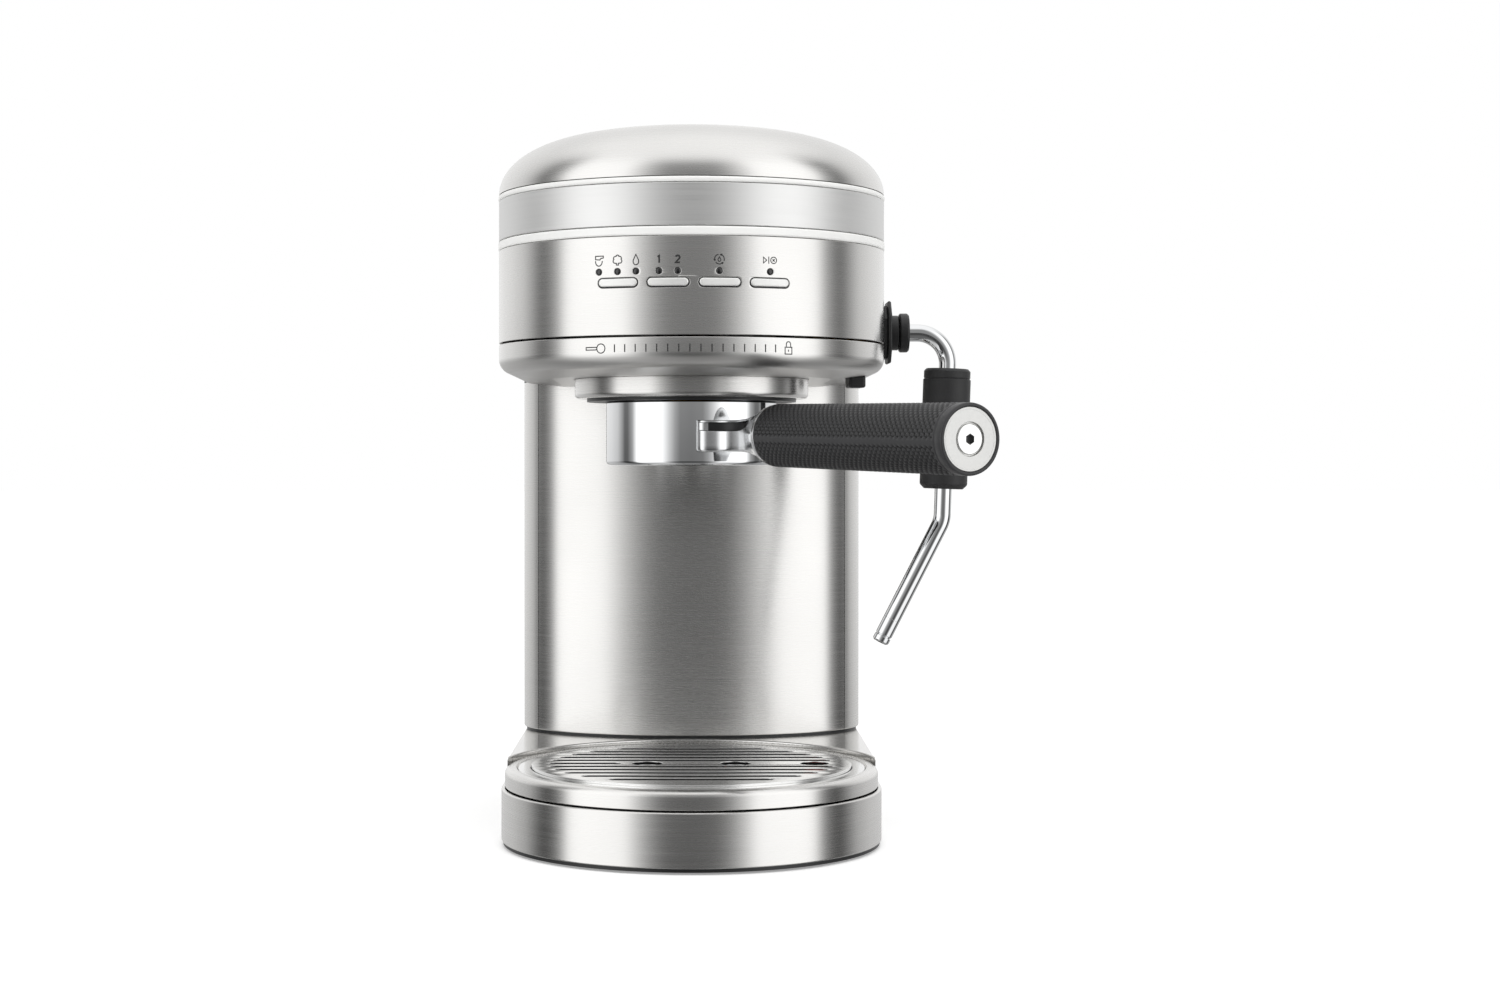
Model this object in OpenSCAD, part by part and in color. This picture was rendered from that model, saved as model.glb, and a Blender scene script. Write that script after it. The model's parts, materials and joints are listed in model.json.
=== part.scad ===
// Espresso machine with a round head, a bayonet filter holder and a swivelling steam wand.
// Millimetres, +Z up. The origin is on the floor under the brew axis, and -Y is the front.

/* [Overall] */
// Width of the head, the widest part of the casing
head_w = 174.6; // [160:0.1:210]
// Height from the floor to the top of the dome
total_h = 322.1; // [308:0.1:392]
// Distance from the brew axis to the back of the machine
back_y = 203; // [198:1:245]

/* [Casing] */
// Wall of the pressed steel shells
casing_t = 2; // [1.5:0.1:2.5]
// How far the base band stands in from the head
base_inset = 1.1; // [0.8:0.1:2]
// How far the deck and the drip tray stand in from the head
deck_inset = 2.7; // [2.4:0.1:4]
// How far the column stands in from the head
column_inset = 1.4; // [1.2:0.1:6]
// Width of the column's side strips, seen from the front
column_strip_w = 8.6; // [6:0.1:12]
// Radius of the middle of the column's bulged front
bulge_r = 135; // [110:1:180]
// Gap between the tray circle and the column's bulged front
column_gap = 3.6; // [3:0.1:12]
// Radius of the back corners of the base and the tank
back_corner_r = 40; // [30:1:46]
// Thickness of the upright back wall
back_wall_t = 1.5; // [1.2:0.1:3]

/* [Heights] */
// Thickness of the rubber feet
foot_h = 1; // [0.8:0.1:3]
// Thickness of the floor pan's visible edge
pan_edge_h = 1.5; // [1:0.1:3]
// Height of the base band
band_h = 23.6; // [22:0.1:30]
// Height of the deck above the base band
deck_h = 10.9; // [9:0.1:14]
// Height of the head's lower shell, which carries the scale
lower_shell_h = 15.6; // [12:0.1:20]
// Height of the control panel shell
panel_h = 42; // [34:0.1:52]
// Height of the lower bright trim ring
lower_trim_h = 4.1; // [3:0.1:6]
// Height of the plain band
plain_band_h = 18.3; // [14:0.1:24]
// Height of the upper bright trim ring
upper_trim_h = 2.6; // [2:0.1:4]
// Height of the dome
dome_h = 29; // [24:0.1:40]

/* [Drip tray] */
// Height of the tray's rim ring
rim_h = 8.7; // [7:0.1:12]
// Radial width of the rim ring
rim_w = 11.6; // [9:0.1:14]
// Wall of the moulded tray tub
tub_t = 2; // [1.5:0.1:3]
// Thickness of the grate
grate_t = 1.8; // [1.2:0.1:3]
// Width of one slot in the grate
slot_w = 4; // [3:0.1:5]
// Distance between slot rows
slot_pitch = 10.8; // [9:0.1:13]
// Number of slot rows
slot_rows = 11; // [7:2:11]
// Width of the plain margin round the slots
grate_margin = 8; // [6:0.5:12]
// Radius of the two round drain holes
drain_r = 7; // [5:0.5:8]
// Distance of the drain holes from the brew axis
drain_x = 20; // [16:1:24]
// Radius of the hole over the float
float_hole_r = 6.5; // [5.5:0.5:8]
// Distance of the float from the brew axis
float_x = 56; // [50:1:58]

/* [Brew group] */
// Radius of the filter holder's body
holder_r = 38.9; // [34:0.1:47]
// Height of the filter holder's visible body
holder_h = 28.2; // [24:0.1:36]
// Wall of the filter holder under its rim
holder_wall = 8.4; // [7:0.1:10]
// How far the brew group hangs below the head
group_drop = 10.2; // [8:0.1:14]
// How far the ring shroud stands out from the filter holder
shroud_out = 14.1; // [12:0.1:18]
// Turn from locked to unlocked
unlock_angle = 57; // [45:1:60]
// Angle of the locked handle to the right of straight ahead
lock_angle = 30; // [20:1:35]

/* [Handle] */
// Diameter of the grip at its end
grip_d = 27.9; // [23:0.1:34]
// Distance from the brew axis to the near end of the grip
grip_start = 75; // [70:0.5:90]
// Length of the handle with its cap
grip_len = 136; // [110:1:164]
// Droop of the handle
grip_tilt = 1.1; // [0:0.1:4]
// Diameter of the metal end disc
disc_d = 25; // [18:0.1:25]
// Diameter of the bolt's head
bolt_head_d = 11.8; // [9:0.1:13]

/* [Buttons] */
// Width of a button slot
button_w = 18.4; // [15:0.1:22]
// Height of a button slot
button_h = 4.4; // [3.6:0.1:6]
// Angle between neighbouring buttons
button_pitch = 14.4; // [13:0.1:16]
// Height of the buttons above the panel's lower edge
button_z = 22.4; // [16:0.1:28]
// Gap all round a button
button_gap = 0.4; // [0.3:0.05:0.6]
// Travel of a button
button_travel = 1.2; // [0.8:0.1:2]
// Diameter of an indicator lamp
lamp_d = 2.5; // [2:0.1:3.2]

/* [Steam wand] */
// Diameter of the wand's tube
wand_d = 8; // [6.6:0.1:9.6]
// Distance of the wand's swivel axis behind the brew axis
wand_y = 12; // [6:0.5:20]
// Height of the swivel axis above the head's underside
wand_z = 21.9; // [20:0.1:26]
// Radius of the wand's elbow
elbow_r = 14; // [12:0.5:18]
// Length of the wand's upright stretch
wand_upright = 68.5; // [60:0.5:80]
// Length of the wand's sloping stretch with its tip
wand_slope = 60; // [45:0.5:70]
// Diameter of the rubber grip
wand_grip_d = 21.8; // [18:0.1:26]
// Length of the rubber grip
wand_grip_len = 55.2; // [45:0.1:62]

/* [Water tank] */
// Front to back depth of the tank
tank_d = 41.2; // [36:0.1:50]
// Wall of the tank
tank_t = 2.5; // [2:0.1:3.5]
// Clearance between pieces that come apart
loose = 0.3; // [0.3:0.05:0.5]

/* [Hidden] */
$fn = 96;
running = 0.05; // radial clearance of a shaft in its own hole
over = 1; // how far a cutter runs past a face
weld = 0.05; // how far two solids of one piece run into each other

// Plan radii
head_r = head_w / 2;
base_r = head_r - base_inset;
deck_r = head_r - deck_inset;
column_r = head_r - column_inset;
tray_r = deck_r;
casing_back = back_y - tank_d - loose - back_wall_t;

// Heights of the joints between pieces
pan_z = foot_h;
band_z = pan_z + pan_edge_h;
band_top = band_z + band_h;
deck_top = band_top + deck_h;
frame_flange_t = 2;
column_z = deck_top + frame_flange_t;
head_z = total_h - lower_shell_h - panel_h - lower_trim_h - plain_band_h - upper_trim_h - dome_h;
panel_z = head_z + lower_shell_h;
lower_trim_z = panel_z + panel_h;
plain_z = lower_trim_z + lower_trim_h;
upper_trim_z = plain_z + plain_band_h;
dome_z = upper_trim_z + upper_trim_h;

// The column's bulged front: a middle arc, a tighter flank out to the seam and a corner, all tangent
bulge_y = tray_r + column_gap;
bulge_a = 22.7; // plan angle where the middle arc ends
seam_a = 50; // plan angle at the seam
front_sheet_x = column_r - column_strip_w;
flank_r = (front_sheet_x - bulge_r * sin(bulge_a)) / (sin(seam_a) - sin(bulge_a));
column_corner_r = column_strip_w / (1 - sin(seam_a));
bulge_centre = [0, bulge_y + bulge_r];
flank_centre = bulge_centre + (bulge_r - flank_r) * [sin(bulge_a), -cos(bulge_a)];
corner_centre = flank_centre + (flank_r - column_corner_r) * [sin(seam_a), -cos(seam_a)];

// Dome section
dome_flat = 3.2;
dome_round = 2.05;
dome_steps = 26;

// Floor pan
pan_t = 2.5;
pan_top = band_z + pan_t;
foot_r = 9;
foot_x = head_r * 0.62;
foot_front_y = -head_r * 0.45;
foot_back_y = back_y - 30;
pan_inset = 0.8;
pan_screws = [for (s = [-1, 1], y = [foot_front_y + 24, foot_back_y - 24]) [s * foot_x, y]];

// Drip tray
rim_z = band_top + loose;
rim_top = rim_z + rim_h;
rim_inner_r = tray_r - rim_w;
tub_z = pan_top + loose;
grate_z = rim_top + 0.9 - grate_t;
tub_top = grate_z - loose;
grate_r = rim_inner_r - loose;
slot_field_r = grate_r - grate_margin;
lip_w = 5;
float_pin_r = 1.5;
float_r = float_hole_r - 1.5;
float_foot_r = 8;
float_foot_h = 3;
float_floor = tub_z + tub_t;
well_gap = 0.6;
well_fn = 4 * $fn;

// Brew group
holder_top = head_z - group_drop - loose;
holder_z = holder_top - holder_h;
shroud_r = holder_r + shroud_out;
shroud_h = 8.8;
bayonet_t = 1.7;
bayonet_z = holder_top + loose;
group_z = bayonet_z + bayonet_t;
bayonet_r = holder_r + 8.6;
group_r = bayonet_r - 1.5;
rim_neck_r = holder_r - 4.3;
cup_r = holder_r - holder_wall;
lug_r = holder_r + 0.4;
lug_h = 3.4;
lug_arc = 44;
lug_start = 10;
lug_z = group_z + loose;
lug_room_h = lug_h + 2 * loose + 0.2;
neck_top = lug_z + lug_h + 0.6;
basket_t = 0.8;
basket_r = cup_r - 1;
basket_z = holder_z + 6.2;
basket_lip_t = 1;
basket_top = neck_top + basket_lip_t;
gasket_z = basket_top + loose;
gasket_h = 6;
screen_r = basket_r - basket_t - 2;
screen_t = 1.2;
screen_z = gasket_z + 1.8;
group_h = 26;
group_top = group_z + group_h;
spout_r = 6;
spout_bore_r = 3;
wire_r = 0.6;
wire_ring_r = cup_r - 0.3;
wire_z = neck_top - 7;

// Handle
handle_turn = lock_angle - 90;
handle_z = holder_z + 13;
grip_r = grip_d / 2;
grip_near_r = grip_r - 0.6;
disc_t = 2.2;
bolt_r = 3;
bolt_in = 22;
neck_r = 7.1;
// Plan of the saddle that spreads the neck's root over the cup, as distance out and to one side
saddle_points = [
    [cup_r + 3, 16.5], [holder_r - 1, 18.6], [holder_r + 1.6, 18.2], [holder_r + 3.2, 15.6],
    [holder_r + 5, 11], [holder_r + 9, neck_r + 0.8], [holder_r + 14, neck_r - 0.6]
];
// Outline of the forged neck as distance from the brew axis and radius
neck_points = [
    [cup_r + 3, 0], [cup_r + 3, neck_r], [holder_r + 14, neck_r], [grip_start - 17, neck_r + 0.3],
    [grip_start - 11, neck_r + 2.2],
    [grip_start - 5, grip_near_r - 1.2], [grip_start - 1.5, grip_near_r], [grip_start, grip_near_r],
    [grip_start, 0]
];

// Control panel
button_first = -20.9;
button_out = 0.6;
carrier_r = head_r - casing_t - 8.3;
carrier_t = 2;
carrier_depth = 17;
carrier_flat = carrier_r - carrier_depth;
carrier_h = 17;
carrier_lug_angle = acos(carrier_flat / carrier_r) - 4;
carrier_lug_r = carrier_r - carrier_t;
button_in_r = carrier_r + loose + button_travel;
lamp_z = button_z + 4.7;
lamp_angles = [-26.6, -20.9, -15.5, -9.0, -3.8, 7.7, 22.3];
board_t = 1.6;
panel_z_mid = panel_z + button_z;

// Steam wand
wand_r = wand_d / 2;
swivel_z = head_z + wand_z;
flange_w = 28.4;
flange_t = 3.8;
flange_bevel = 6;
flange_screw_r = 1.5;
wand_room = 2;
steam_block_w = 18;
steam_block_h = 22;
steam_block_x = group_r + 1.3;
collar_r = wand_r + 4;
collar_t = 3.9;
nut_r = wand_r + 5;
nut_t = 5.5;
collar_x = head_r + flange_t;
nut_x = collar_x + collar_t + loose;
elbow_x = nut_x + nut_t + 3;
wand_lean = 2;
tip_bend = 25;
bend_thinning = 0.02;
tip_len = 12;
shaft_in = 3;
grip_below = 2;

// Release latch
latch_w = 11;
latch_d = 8;
latch_h = 6;
latch_angle = 97;
latch_r = head_r - 11.5;
latch_stem = 5;
latch_travel = 2;

// Tank
tank_y = back_y - tank_d;
tank_r = head_r - 2.7;
seat_t = 2.4;
tank_z = deck_top + seat_t + loose;
tank_top = dome_z - 0.8;
tank_corner_r = back_corner_r - 2;
lid_z = tank_top + loose;
lid_t = 2;
pin_r = 1.2;
knuckle_r = 3.9;
lid_pin_y = tank_y + knuckle_r + loose;
lid_pin_z = total_h - knuckle_r + 0.2;
ear_x = 12;
ear_w = 5;
ear_r = 2.9;
boss_x = 17.4;
boss_w = 4.4;
valve_y = tank_y + tank_d / 2;
valve_head_r = 6;
valve_stem_r = 3;
valve_hole_r = 3.6;
valve_head_t = 2;
valve_gap = 0.3;

// Mains inlet and switch
inlet_w = 76;
inlet_h = 19.5;
inlet_plate_t = 1.5;
inlet_z = band_z + 2 + inlet_h / 2;
inlet_body_d = 18;
socket_x = 19;
socket_w = 26;
socket_h = 14.5;
socket_d = 16;
rocker_x = -21;
rocker_w = 21;
rocker_r = 7.8;
rocker_room = 0.4;
rocker_y = back_y - 3;
rocker_tilt = 8;
rocker_face = 4;

// Inside
pump_r = 17;
pump_x = -40;
pump_y = casing_back - 23;
pump_foot_h = 8;
pump_h = 92;
pump_z = column_z + pump_foot_h;
valve_x = 38;
meter_r = 14;
meter_h = 14;
valve_block = 26;
valve_block_h = 34;
hose_r = 3;
heater_r = group_r - 4;
heater_h = 30;
power_board_w = 40;
power_board_h = 110;
power_board_z = column_z + 20;
frame_leg_x = head_r * 0.82;
frame_leg_d = 22;
screw_head_r = 3.6;
screw_head_h = 1.2;
wall_screw_h = 0.25;
wall_screw_x = head_r * 0.72;
wall_screw_z = [column_z + 14, head_z + 12];

// Plan of the base and tank: a half circle at the front and rounded back corners, set in by i
module rounded_plan(r, back, corner, i = 0)
{
    circle(r = r - i);
    translate([-(r - i), 0]) square([2 * (r - i), back - corner]);
    translate([-(r - corner), 0]) square([2 * (r - corner), back - i]);
    for (s = [-1, 1])
        translate([s * (r - corner), back - corner]) circle(r = corner - i);
}

// Points of an arc without its first; its angles are counted from straight ahead
function plan_arc(centre, r, from, to, steps) = [
    for (k = [1:steps]) let (a = from + (to - from) * k / steps) centre + r * [sin(a), -cos(a)]
];

// Plan of the column, set in by i
module column_plan(i = 0)
{
    right = concat(
        plan_arc(bulge_centre, bulge_r - i, 0, bulge_a, 8),
        plan_arc(flank_centre, flank_r - i, bulge_a, seam_a, 10),
        plan_arc(corner_centre, column_corner_r - i, seam_a, 90, 12),
        [[column_r - i, casing_back + over]]
    );
    intersection() {
        polygon(concat(
            [[0, bulge_y + i]], right,
            [for (k = [len(right) - 1:-1:0]) [-right[k][0], right[k][1]]]
        ));
        translate([-head_r, 0]) square([head_w, casing_back]);
    }
}

// A profile of radius and height swept round the front half circle and back along both sides
module casing_sweep(back)
{
    rotate_extrude(angle = 180, start = 180) children();
    for (m = [0, 1])
        mirror([m, 0, 0]) translate([0, back, 0]) rotate([90, 0, 0]) linear_extrude(back) children();
}

// A plain wall of the head, from height z and h tall
module head_wall(z, h, out = 0)
{
    casing_sweep(casing_back) translate([head_r - casing_t, z]) square([casing_t + out, h]);
}

// A cylinder that points outwards from the brew axis at an angle from straight ahead
module radial(angle, z, from)
{
    rotate([0, 0, angle - 90]) translate([from, 0, z]) rotate([0, 90, 0]) children();
}

// A pill-shaped bar of w by h
module pill(w, h, length)
{
    linear_extrude(length) {
        square([h, w - h], center = true);
        for (s = [-1, 1])
            translate([0, s * (w - h) / 2]) circle(r = h / 2);
    }
}

// Height of the dome's section at distance x from its middle, r wide and h high
function dome_at(x, r, h) = h * pow(1 - pow(x / r, dome_flat), 1 / dome_round);

// Points of the dome's half section, closer together near the edge
function dome_points(r, h) = [
    for (k = [0:dome_steps]) let (a = 90 * k / dome_steps) [r * sin(a), dome_at(min(r * sin(a), r), r, h)]
];

module dome_section(i = 0)
{
    polygon(concat([[0, 0]], dome_points(head_r - i, dome_h - i)));
}

// Points of the dome's whole section from right to left, above the height z
function dome_arch(i, z) = let (right = dome_points(head_r - i, dome_h - i)) concat(
    [for (k = [dome_steps:-1:0]) [right[k][0], z + right[k][1]]],
    [for (k = [1:dome_steps]) [-right[k][0], z + right[k][1]]]
);

// Plan angle of a button, counted from straight ahead
function button_angle(k) = button_first + button_pitch * k;

// ---- Base ----

module feet()
{
    color("black") linear_extrude(foot_h) {
        circle(r = foot_r);
        for (s = [-1, 1], y = [foot_front_y, foot_back_y])
            translate([s * foot_x, y]) circle(r = foot_r);
    }
}

module floor_pan()
{
    color("#161616") difference() {
        union() {
            translate([0, 0, pan_z]) linear_extrude(pan_edge_h)
                rounded_plan(base_r, back_y, back_corner_r, pan_inset);
            translate([0, 0, band_z]) linear_extrude(pan_t)
                rounded_plan(base_r, back_y, back_corner_r, casing_t);
        }
        for (p = pan_screws)
            translate([p[0], p[1], pan_z - over]) cylinder(r = screw_head_r, h = screw_head_h + over);
    }
}

module case_screws()
{
    color("silver") {
        for (p = pan_screws)
            translate([p[0], p[1], pan_z]) socket_screw();
        for (s = [-1, 1], z = wall_screw_z)
            translate([s * wall_screw_x, casing_back + back_wall_t, z]) rotate([-90, 0, 0])
                cylinder(r = screw_head_r - 0.6, h = wall_screw_h);
    }
}

// Flat screw head that fills its recess, with a hexagon socket
module socket_screw()
{
    difference() {
        cylinder(r = screw_head_r, h = screw_head_h);
        translate([0, 0, -over]) cylinder(r = 1.4, h = over + 0.8, $fn = 6);
    }
}

module base_band()
{
    color("silver") difference() {
        translate([0, 0, band_z]) linear_extrude(band_h) difference() {
            rounded_plan(base_r, back_y, back_corner_r);
            rounded_plan(base_r, back_y, back_corner_r, casing_t);
        }
        translate([-inlet_w / 2 + 2, back_y - 2 * casing_t, inlet_z - inlet_h / 2 + 1.5])
            cube([inlet_w - 4, 4 * casing_t, inlet_h - 3]);
    }
}

// The well takes the tray, and its circle is fine because it leaves the sides at a slant
module base_deck()
{
    well_r = tray_r + well_gap;
    color("silver") difference() {
        translate([0, 0, band_top]) linear_extrude(deck_h) difference() {
            rounded_plan(base_r, back_y, back_corner_r, base_r - deck_r);
            circle(r = well_r, $fn = well_fn);
        }
        translate([0, 0, band_top - over]) linear_extrude(deck_h + over - casing_t) difference() {
            rounded_plan(base_r, back_y, back_corner_r, base_r - deck_r + casing_t);
            circle(r = well_r + casing_t, $fn = well_fn);
        }
    }
}

module tank_seat()
{
    color("#202020") difference() {
        translate([0, 0, deck_top]) linear_extrude(seat_t) intersection() {
            rounded_plan(tank_r, back_y, tank_corner_r, 3);
            translate([-head_r, tank_y + 3]) square([head_w, tank_d]);
        }
        translate([0, valve_y, deck_top + 0.8]) cylinder(r = valve_head_r + 2, h = seat_t);
    }
    color("#202020") translate([0, valve_y, deck_top + 0.8 - 0.01]) cylinder(r = 2, h = 0.9);
}

module mains_inlet()
{
    color("#1a1a1a") difference() {
        union() {
            translate([-inlet_w / 2, back_y, inlet_z - inlet_h / 2]) cube([inlet_w, inlet_plate_t, inlet_h]);
            translate([-inlet_w / 2 + 2, back_y - inlet_body_d, inlet_z - inlet_h / 2 + 1.5])
                cube([inlet_w - 4, inlet_body_d, inlet_h - 3]);
        }
        translate([socket_x - socket_w / 2, back_y + inlet_plate_t - socket_d, inlet_z - socket_h / 2])
            cube([socket_w, socket_d + over, socket_h]);
        translate([rocker_x - rocker_w / 2 - rocker_room, rocker_y, inlet_z]) rotate([0, 90, 0])
            cylinder(r = rocker_r + rocker_room, h = rocker_w + 2 * rocker_room);
    }
    color("silver") for (k = [-1, 0, 1])
        translate([socket_x + 7 * k - 1, back_y + inlet_plate_t - socket_d, inlet_z - 2 + 2 * (1 - abs(k))])
            cube([2, socket_d - 5, 4]);
}

module power_rocker()
{
    color("#101010") translate([rocker_x - rocker_w / 2, rocker_y, inlet_z]) rotate([90, 0, 90])
        linear_extrude(rocker_w) rotate(-rocker_tilt) intersection() {
            circle(r = rocker_r);
            polygon([
                [-rocker_r, -rocker_r], [rocker_face + 0.8, -rocker_r], [rocker_face, 0],
                [rocker_face + 0.8, rocker_r], [-rocker_r, rocker_r]
            ]);
        }
}

// ---- Drip tray ----

module tray_tub()
{
    color("#181818") {
        difference() {
            translate([0, 0, tub_z]) cylinder(r = rim_inner_r, h = tub_top - tub_z);
            translate([0, 0, float_floor]) cylinder(r = rim_inner_r - tub_t, h = tub_top);
        }
        translate([float_x, 0, float_floor - 0.01]) cylinder(r = float_pin_r, h = 13);
    }
}

module tray_rim()
{
    round_r = 3.2;
    color("silver") rotate_extrude() difference() {
        translate([rim_inner_r, rim_z]) square([rim_w, rim_h]);
        translate([tray_r - round_r, rim_top - round_r]) difference() {
            square(round_r + over);
            circle(r = round_r);
        }
    }
}

module drip_grate()
{
    color("#d8d8d8") difference() {
        union() {
            translate([0, 0, grate_z]) cylinder(r = grate_r, h = grate_t);
            for (x = [-drain_x, drain_x])
                translate([x, 0, grate_z - 1.2]) cylinder(r = drain_r + 1.2, h = 1.3);
        }
        for (x = [-drain_x, drain_x])
            translate([x, 0, grate_z - 2]) cylinder(r = drain_r, h = grate_t + 3);
        translate([float_x, 0, grate_z - over]) cylinder(r = float_hole_r, h = grate_t + 2 * over);
        for (k = [-(slot_rows - 1) / 2:(slot_rows - 1) / 2])
            grate_row(slot_pitch * k);
    }
}

// One row of slots: the middle row stops short of the round holes' lips
module grate_row(y)
{
    half = sqrt(pow(slot_field_r, 2) - pow(y, 2));
    if (abs(y) > drain_r + lip_w - 2)
        slot(-half, half, y);
    else
        slot(-half, -drain_x - drain_r - lip_w, y);
}

module slot(from, to, y)
{
    r = slot_w / 2;
    translate([0, 0, grate_z - over]) linear_extrude(grate_t + 2 * over) {
        translate([from + r, y - r]) square([to - from - slot_w, slot_w]);
        for (x = [from + r, to - r])
            translate([x, y]) circle(r = r);
    }
}

module tray_float()
{
    color("#b03020") translate([float_x, 0, float_floor + loose]) difference() {
        union() {
            cylinder(r = float_foot_r, h = float_foot_h);
            cylinder(r = float_r, h = grate_z - float_floor - loose - 0.6);
        }
        translate([0, 0, -over]) cylinder(r = float_pin_r + running, h = 14.2 + over);
    }
}

// ---- Column and inner frame ----

module column_shell()
{
    translate([0, 0, column_z]) linear_extrude(head_z - column_z) intersection() {
        difference() {
            column_plan();
            column_plan(casing_t);
        }
        children();
    }
}

module column_front()
{
    color("silver") column_shell() difference() {
        translate([-front_sheet_x, 0]) square([2 * front_sheet_x, casing_back - casing_t - 5]);
    }
}

module column_sides()
{
    color("silver") column_shell() union() {
        for (s = [0, 1])
            mirror([s, 0]) translate([front_sheet_x, 0]) square([column_r, casing_back]);
    }
}

module inner_frame()
{
    leg_h = head_z - column_z - casing_t;
    color("#303030") {
        translate([0, 0, deck_top]) linear_extrude(frame_flange_t) column_plan(1.2);
        for (s = [-1, 1])
            translate([s * frame_leg_x - 1, casing_back - frame_leg_d, column_z])
                cube([2, frame_leg_d, leg_h]);
        translate([0, 0, column_z + leg_h]) linear_extrude(casing_t) difference() {
            column_plan(casing_t + running);
            translate([-30, casing_back - 40]) square([60, 28]);
        }
    }
}

module back_wall()
{
    color("#1c1c1c") translate([0, casing_back + back_wall_t, 0]) rotate([90, 0, 0])
        linear_extrude(back_wall_t) polygon(concat(
            [[-head_r, head_z], [-column_r, head_z], [-column_r, column_z]],
            [[column_r, column_z], [column_r, head_z], [head_r, head_z]],
            dome_arch(0, dome_z)
        ));
}

// ---- Head ----

module head_lower_shell()
{
    corner = 5;
    color("silver") difference() {
        casing_sweep(casing_back) difference() {
            translate([0, head_z]) square([head_r, lower_shell_h]);
            translate([-over, head_z + casing_t]) square([head_r - casing_t + over, lower_shell_h]);
            translate([head_r - corner, head_z + corner]) difference() {
                translate([0, -corner - over]) square(corner + over);
                circle(r = corner);
            }
        }
        translate([0, 0, head_z - over]) cylinder(r = group_r + loose, h = casing_t + 2 * over);
        latch_place() cube([latch_stem + 2 * loose, latch_stem + 2 * loose, 20], center = true);
        wand_hole();
    }
    color("silver") casing_corner(corner);
}

// Inner fillet that keeps the rounded bottom edge as thick as the wall
module casing_corner(corner)
{
    casing_sweep(casing_back) translate([head_r - corner, head_z + corner]) intersection() {
        difference() {
            circle(r = corner - 0.2);
            circle(r = corner - casing_t);
        }
        translate([0, -corner]) square(corner);
    }
}

module control_panel()
{
    color("silver") difference() {
        head_wall(panel_z, panel_h);
        for (k = [0:3])
            radial(button_angle(k), panel_z_mid, head_r - 2 * casing_t)
                pill(button_w, button_h, 3 * casing_t);
        for (a = lamp_angles)
            radial(a, panel_z + lamp_z, head_r - 2 * casing_t) cylinder(r = lamp_d / 2, h = 3 * casing_t);
        wand_hole();
    }
}

// Hole in the head's side for the pipe that carries the wand
module wand_hole()
{
    translate([head_r - 2 * casing_t, wand_y, swivel_z]) rotate([0, 90, 0])
        cylinder(r = wand_r + wand_room, h = 3 * casing_t);
}

module lower_trim() { color("#e0e0e0") head_wall(lower_trim_z, lower_trim_h, 0.3); }

module plain_band() { color("#b8b8b8") head_wall(plain_z, plain_band_h); }

module upper_trim() { color("#e0e0e0") head_wall(upper_trim_z, upper_trim_h, 0.3); }

module dome_cover()
{
    color("silver") translate([0, 0, dome_z]) difference() {
        casing_sweep(casing_back) dome_section();
        translate([0, 0, -0.001]) casing_sweep(casing_back + over) dome_section(casing_t);
    }
}

// ---- Controls ----

module indicator_lamps()
{
    color("#101010") for (a = lamp_angles)
        radial(a, panel_z + lamp_z, head_r - casing_t - 1) cylinder(r = lamp_d / 2, h = casing_t + 1.1);
}

// Hollow carrier behind the panel that the buttons' springs push against
module button_carrier()
{
    color("#222222") translate([0, 0, panel_z_mid - carrier_h / 2]) linear_extrude(carrier_h) {
        difference() {
            carrier_plan(carrier_r, carrier_flat);
            carrier_plan(carrier_r - carrier_t, carrier_flat + carrier_t);
        }
        for (s = [-1, 1])
            rotate(s * carrier_lug_angle - 90) translate([carrier_lug_r, -1.5])
                square([head_r - casing_t - carrier_lug_r - 2 * running, 3]);
    }
}

module carrier_plan(r, flat)
{
    intersection() {
        circle(r = r);
        translate([-r, -r - flat]) square([2 * r, r]);
    }
}

module circuit_boards()
{
    color("#2c5030") {
        translate([-38, -carrier_flat, panel_z_mid - carrier_h / 2 - 6]) cube([76, board_t, 32]);
        translate([-power_board_w / 2, casing_back - 6 - board_t, power_board_z])
            cube([power_board_w, board_t, power_board_h]);
        for (x = [-1, 1], z = [8, power_board_h - 8])
            translate([x * (power_board_w / 2 - 6), casing_back - 6, power_board_z + z]) rotate([-90, 0, 0])
                cylinder(r = 2.5, h = 6);
    }
}

module button(k)
{
    a = button_angle(k);
    w = button_w - 2 * button_gap;
    h = button_h - 2 * button_gap;
    color("#d0d0d0") intersection() {
        radial(a, panel_z_mid, button_in_r) pill(w, h, head_r + 3 - button_in_r);
        cylinder(r = head_r + button_out, h = total_h);
    }
}

module button_function() { button(0); }

module button_shots() { button(1); }

module button_clean() { button(2); }

module button_start() { button(3); }

// ---- Brew group ----

module ring_shroud()
{
    corner = 3;
    z = head_z - shroud_h;
    color("#c8c8c8") rotate_extrude() difference() {
        translate([bayonet_r + 0.1, z]) square([shroud_r - bayonet_r - 0.1, shroud_h]);
        translate([0, z + casing_t]) square([shroud_r - casing_t, shroud_h]);
        translate([shroud_r - corner, z + corner]) difference() {
            translate([0, -corner - over]) square(corner + over);
            circle(r = corner);
        }
    }
}

// Ring under the group that carries the holder's lugs, with two gaps that let them in
module bayonet_ring()
{
    color("#151515") difference() {
        translate([0, 0, bayonet_z]) cylinder(r = bayonet_r, h = bayonet_t);
        translate([0, 0, bayonet_z - over]) cylinder(r = rim_neck_r + 0.5, h = bayonet_t + 2 * over);
        for (s = [0, 180])
            rotate([0, 0, handle_turn - unlock_angle + lug_start - 3 + s]) translate([0, 0, bayonet_z - over])
                rotate_extrude(angle = lug_arc + 6) square([lug_r + 0.5, bayonet_t + 2 * over]);
    }
}

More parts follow.
